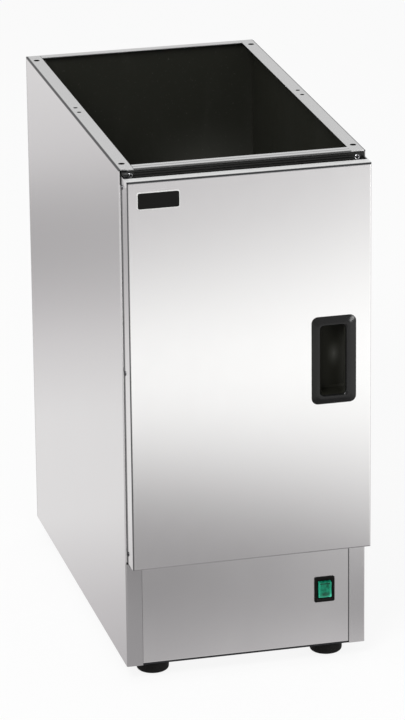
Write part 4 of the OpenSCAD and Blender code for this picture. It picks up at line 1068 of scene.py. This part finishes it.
def screw_rule():
    given = new_rule("screws", {"Head": "Object", "Shank": "Object", "Seed": "Int"})
    points = given["Geometry"]
    carried = {}
    for label in ("facing", "size", "reach"):
        settings = {"data_type": "FLOAT_VECTOR"}
        carried[label] = points.node("GeometryNodeInputNamedAttribute", settings, {"Name": label})
    aimed = points.node("FunctionNodeAlignRotationToVector", {"axis": "Z"}, {"Vector": carried["facing"]})
    turns = {2: 0.0, 3: QUARTER_TURN, "Seed": given["Seed"]}
    chance = points.node("FunctionNodeRandomValue", {"data_type": "FLOAT"}, turns, 1)
    spin = points.node("FunctionNodeAxisAngleToRotation", None, {"Axis": (0, 0, 1), "Angle": chance})
    turned = points.node("FunctionNodeRotateRotation", {"rotation_space": "LOCAL"}, {0: aimed, 1: spin})
    parts = []
    for label, scale in (("Head", "size"), ("Shank", "reach")):
        shape = points.node("GeometryNodeObjectInfo", None, {"Object": given[label]}, "Geometry")
        parts.append(instances(points, shape, {"Rotation": turned, "Scale": carried[scale]}))
    return end_rule(join(*parts), zinc)


rule = screw_rule()
print("screw rule nodes", len(rule.nodes))

# %% [markdown]
# The CAD model gives the box round each set of screws, and their places follow from its corners. Each
# finish and each body needs a mesh of its own, so there are three sets: plated screws in the cabinet,
# two darker ones that hold the seal strip, and blackened ones in the door's edge.

# %% Screws in place
UP, DOWN, FRONT, BACK, LEFT = (0, 0, 1), (0, 0, -1), (0, -1, 0), (0, 1, 0), (-1, 0, 0)
SCREW_R, STRIP_R, DOOR_R = 3.42 * mm, 3.6 * mm, 3.0 * mm
SCREW_LENGTH, BACK_LENGTH, DOOR_LENGTH = 6 * mm, 2.0 * mm, 4 * mm
STRIP_SCREWS_X = (-136.5 * mm, 139.5 * mm)
STRIP_SCREW_DOWN, STRIP_SCREW_IN, GUARD_HEAD = 5.8 * mm, 0.1 * mm, 2.1 * mm
under = pan_low.z
strip_low, strip_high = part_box("seal_strip")
guard_low, guard_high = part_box("guard_screws")
panel_low, panel_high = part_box("back_panel_screws")
plinth_low, plinth_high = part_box("fascia_screws")
edge_low, edge_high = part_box("door_side_screws")

strip_screws = []
for x in STRIP_SCREWS_X:
    place = (x, fascia_y + STRIP_SCREW_IN, strip_high.z - STRIP_SCREW_DOWN)
    strip_screws.append((place, FRONT, STRIP_R, SCREW_LENGTH))

panel_rows = (panel_low.z + SCREW_R, (panel_low.z + panel_high.z) / 2, panel_high.z - SCREW_R)
guard_z = guard_high.z - GUARD_HEAD
cabinet_screws = []
for side in (-1, 1):
    for z in panel_rows:
        place = (side * (panel_high.x - SCREW_R), back_y, z)
        cabinet_screws.append((place, BACK, SCREW_R, BACK_LENGTH))
    place = (side * (plinth_high.x - SCREW_R), plinth_low.y + SCREW_R, under)
    cabinet_screws.append((place, DOWN, SCREW_R, SCREW_LENGTH))
    for y in (guard_low.y + SCREW_R, guard_high.y - SCREW_R):
        place = (side * (guard_high.x - SCREW_R), y, guard_z)
        cabinet_screws.append((place, UP, SCREW_R, SCREW_LENGTH))

edge_y = (edge_low.y + edge_high.y) / 2
edge_step = (edge_high.z - edge_low.z - 2 * DOOR_R) / 2
door_screws = []
for k in range(3):
    place = (door_low.x, edge_y, edge_low.z + DOOR_R + k * edge_step)
    door_screws.append((place, LEFT, DOOR_R, DOOR_LENGTH))

sets = [
    ("cabinet_screws", "cabinet", zinc, cabinet_screws,
     ("back_panel_screws", "fascia_screws", "guard_screws")),
    ("strip_end_screws", "cabinet", screw_plate, strip_screws, ("strip_screws",)),
    ("door_edge_screws", "door", blackened, door_screws, ("door_side_screws",)),
]
for name, body, finish, screws, replaced in sets:
    points = screw_points(name + "_points", screws)
    piece = run_rule(name, rule, points, {"Head": head_shape, "Shank": shank_shape, "Seed": SEED})
    repaint(piece.data, finish)
    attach(piece, body)
    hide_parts(*replaced)
    print(name, len(screws), "screws,", len(piece.data.polygons), "faces")
drop(head_shape, shank_shape)

# %% [markdown]
# A foot is a turned rubber pad with a rounded sole, a shoulder that narrows to a neck, and a stud. A
# Screw modifier could spin its outline. The skin function is used again, on circles, because it
# closes both ends. A rule sets the pad on the four places that the CAD model gives.

# %% Feet
SOLE_R, STUD_R, STUD_EDGE, FOOT_SIDES = 4.0, 4.0, 0.6, 48
foot_names = ("front_left_foot", "front_right_foot", "rear_left_foot", "rear_right_foot")
foot_boxes = [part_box(name) for name in foot_names]
foot_low, foot_high = foot_boxes[0]
foot_r = (foot_high.x - foot_low.x) / 2 / mm
foot_h = under / mm
stud_top = foot_high.z / mm
outline = [(foot_r - SOLE_R, 0.0)]
for degrees in range(15, 91, 15):
    turn = math.radians(degrees)
    outline.append((foot_r - SOLE_R + SOLE_R * math.sin(turn), SOLE_R - SOLE_R * math.cos(turn)))
outline += [
    (foot_r, 11.0),
    (foot_r - 0.5, 12.6),
    (foot_r - 1.6, 13.6),
    (foot_r - 3.2, 14.0),
    (foot_r - 5, 14.2),
    (foot_r - 5, foot_h),
    (STUD_R, foot_h),
    (STUD_R, stud_top - STUD_EDGE),
    (STUD_R - STUD_EDGE, stud_top),
]
bm = bmesh.new()
skin(bm, [circle_ring(r * mm, z * mm, FOOT_SIDES) for r, z in outline])
pad = finish_mesh("foot_pad", bm, rubber, sharp=40)

given = new_rule("feet", {"Pad": "Object"})
points = given["Geometry"]
shape = points.node("GeometryNodeObjectInfo", None, {"Object": given["Pad"]}, "Geometry")
rule = end_rule(instances(points, shape), rubber)
places = [((low.x + high.x) / 2, (low.y + high.y) / 2, 0.0) for low, high in foot_boxes]
carrier = bpy.data.meshes.new("foot_places")
carrier.from_pydata(places, [], [])
feet = run_rule("feet", rule, carrier, {"Pad": pad})
drop(pad)
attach(feet, "cabinet")
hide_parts(*foot_names)
print("feet", len(places), "radius", round(foot_r, 1), "mm")

# %% [markdown]
# The seal strip under the rail is a ribbed rubber extrusion between two end blocks. An Array modifier
# could repeat its ribs. A rule does it with inputs for their count, pitch, radius and length: a line
# of points, one round rib on each, and the backing behind them. The backing and the end blocks, which
# hold the two screws, are short lofts.

# %% Seal strip
RIB_COUNT, RIB_PITCH, RIB_R, RIB_LENGTH, RIB_SIDES = 5, 3.1 * mm, 1.12 * mm, 278.0 * mm, 14
STRIP_BACK = 2.4

# Each block is its left, its right, its height and the depth of its front behind the fascia's face.
# The first two are the end blocks and the last is the backing, in millimetres.
STRIP_BLOCKS = ((-148.5, -131.0, 12.3, 0.05), (133.0, 148.5, 15.9, 0.05), (-131.0, 133.0, 15.9, 1.3))
first_rib = (-139.4 * mm, fascia_y + 1.15 * mm, strip_low.z + 1.7 * mm)

inputs = {"Count": "Int", "Pitch": "Float", "Rib radius": "Float", "Length": "Float"}
given = new_rule("ribs", inputs)
start = given["Geometry"]
step = start.node("ShaderNodeCombineXYZ", None, {"Z": given["Pitch"]})
line = start.node("GeometryNodeMeshLine", None, {"Count": given["Count"], "Offset": step})
rib = straight_rod(given["Length"], "X", given["Rib radius"], RIB_SIDES)
smooth = start.node("GeometryNodeSetShadeSmooth", None, {0: instances(line, rib)})
moved = start.node("GeometryNodeTransform", None, {0: smooth, "Translation": first_rib})
rule = end_rule(join(moved, start), seal_rubber)

bm = bmesh.new()
for block_left, block_right, h, back in STRIP_BLOCKS:
    w = block_right - block_left
    middle = Vector(((block_left + block_right) / 2 * mm, fascia_y, strip_low.z + h / 2 * mm))
    shell = [(w, h, 1.2, -STRIP_BACK), (w, h, 1.2, -back - 0.5), (w - 0.8, h - 0.8, 1.0, -back)]
    loft(bm, middle, fascia_y, shell)
backing = finish_mesh("strip_backing", bm, seal_rubber, sharp=30)
values = {"Count": RIB_COUNT, "Pitch": RIB_PITCH, "Rib radius": RIB_R, "Length": RIB_LENGTH}
strip = run_rule("seal_strip_ribs", rule, backing.data.copy(), values)
drop(backing)
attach(strip, "cabinet")
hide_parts("seal_strip")
print("seal strip faces", len(strip.data.polygons))

# %% [markdown]
# The heating element and the shelf are bent from round stock, so both are tubes along a path. A curve
# object with a bevel depth would do for one of them. One rule does for both: it turns a carrier mesh
# of edges into curves, draws a circle along them, and repeats a straight wire across the shelf.

# %% Rule for bent rods
ROD_SIDES, WIRE_SIDES = 16, 14


def path_mesh(name, paths):
    verts, edges = [], []
    for path, closed in paths:
        first = len(verts)
        verts += path
        edges += [(i, i + 1) for i in range(first, len(verts) - 1)]
        if closed:
            edges.append((len(verts) - 1, first))
    mesh = bpy.data.meshes.new(name)
    mesh.from_pydata(verts, edges, [])
    return mesh


def arc(cx, cy, r, start, end, steps):
    points = []
    for i in range(steps + 1):
        turn = math.radians(start + (end - start) * i / steps)
        points.append((cx + r * math.cos(turn), cy + r * math.sin(turn)))
    return points


def bent_rod_rule():
    inputs = {
        "Radius": "Float", "Wire radius": "Float", "Wire count": "Int",
        "Wire step": "Float", "Wire length": "Float", "First wire": "Vector",
    }
    given = new_rule("bent_rod", inputs)
    start = given["Geometry"]
    curves = start.node("GeometryNodeMeshToCurve", None, {0: start})
    wire = straight_rod(given["Wire length"], "Y", given["Wire radius"], WIRE_SIDES)
    step = start.node("ShaderNodeCombineXYZ", None, {"X": given["Wire step"]})
    sockets = {"Count": given["Wire count"], "Start Location": given["First wire"], "Offset": step}
    row = start.node("GeometryNodeMeshLine", None, sockets)
    rods = join(tube(curves, given["Radius"], ROD_SIDES), instances(row, wire))
    return end_rule(start.node("GeometryNodeSetShadeSmooth", None, {0: rods}), bright_wire)


rule = bent_rod_rule()
print("bent rod rule nodes", len(rule.nodes))

# %% [markdown]
# The element is one tube that comes up through the cavity floor, makes four runs with three bends, and
# goes down again. Drawn by hand it would need a point for every few degrees. Its path follows from
# the CAD model's box instead: the runs are evenly spaced and the bends are half circles.

# %% Heating element
ELEMENT_R, ELBOW, STUB = 4 * mm, 14 * mm, 12 * mm
BEND_STEPS = 12


def element_path(low, high):
    axis_z = high.z - ELEMENT_R
    runs = [low.x + ELEMENT_R + i * (high.x - low.x - 2 * ELEMENT_R) / 3 for i in range(4)]
    bend = (runs[1] - runs[0]) / 2
    rear = high.y - ELEMENT_R - bend
    near = low.y + ELEMENT_R + bend
    leg = [(rear + ELBOW, low.z + STUB)]
    for degrees in range(90, -1, -10):
        turn = math.radians(degrees)
        leg.append((rear + ELBOW * math.sin(turn), axis_z - ELBOW + ELBOW * math.cos(turn)))
    path = [(runs[0], y, z) for y, z in leg]
    for k, bend_y, end in ((0, near, 360), (1, rear, 0), (2, near, 360)):
        middle_x = (runs[k] + runs[k + 1]) / 2
        path += [(x, y, axis_z) for x, y in arc(middle_x, bend_y, bend, 180, end, BEND_STEPS)]
    return path + [(runs[3], y, z) for y, z in reversed(leg)]


path = element_path(*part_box("heating_element"))
carrier = path_mesh("element_path", [(path, False)])
element = run_rule("element_tube", rule, carrier, {"Radius": ELEMENT_R, "Wire count": 0})
repaint(element.data, sheath)
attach(element, "cabinet")
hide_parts("heating_element")
print("element path points", len(path), "faces", len(element.data.polygons))

# %% [markdown]
# The shelf is a closed frame of rod with round corners, two bars across it, and nine thinner wires that
# lie on top from front to rear. Cylinders could be set one by one, but they would not bend round the
# corners. The frame and the bars are paths of one carrier mesh, and the wires come from the rule's
# count, step and length, so they stay even when the shelf's size changes.

# %% Wire shelf
SHELF_ROD_R, SHELF_WIRE_R, SHELF_CORNER = 3 * mm, 2 * mm, 15 * mm
WIRE_COUNT, CORNER_BENDS = 9, 8
low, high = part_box("wire_shelf")
rod_z = low.z + SHELF_ROD_R
left, right = low.x + SHELF_ROD_R, high.x - SHELF_ROD_R
near, rear = low.y + SHELF_ROD_R, high.y - SHELF_ROD_R
inner_left, inner_right = left + SHELF_CORNER, right - SHELF_CORNER
inner_near, inner_rear = near + SHELF_CORNER, rear - SHELF_CORNER
turns = (
    (inner_right, inner_rear, 0), (inner_left, inner_rear, 90),
    (inner_left, inner_near, 180), (inner_right, inner_near, 270),
)
loop = []
for cx, cy, begin in turns:
    loop += [(x, y, rod_z) for x, y in arc(cx, cy, SHELF_CORNER, begin, begin + 90, CORNER_BENDS)]
bars = []
for share in (1 / 3, 2 / 3):
    y = near + share * (rear - near)
    bars.append(([(left, y, rod_z), (right, y, rod_z)], False))
values = {
    "Radius": SHELF_ROD_R, "Wire radius": SHELF_WIRE_R,
    "Wire count": WIRE_COUNT, "Wire length": rear - near,
    "Wire step": (right - left - 2 * SHELF_CORNER) / (WIRE_COUNT - 1),
    "First wire": (inner_left, near, high.z - SHELF_WIRE_R),
}
shelf = run_rule("shelf_wires", rule, path_mesh("shelf_path", [(loop, True)] + bars), values)
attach(shelf, "shelf")
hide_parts("wire_shelf")
print("shelf wires", WIRE_COUNT, "faces", len(shelf.data.polygons))

# %% [markdown] The dressed model may not be larger than the CAD model.
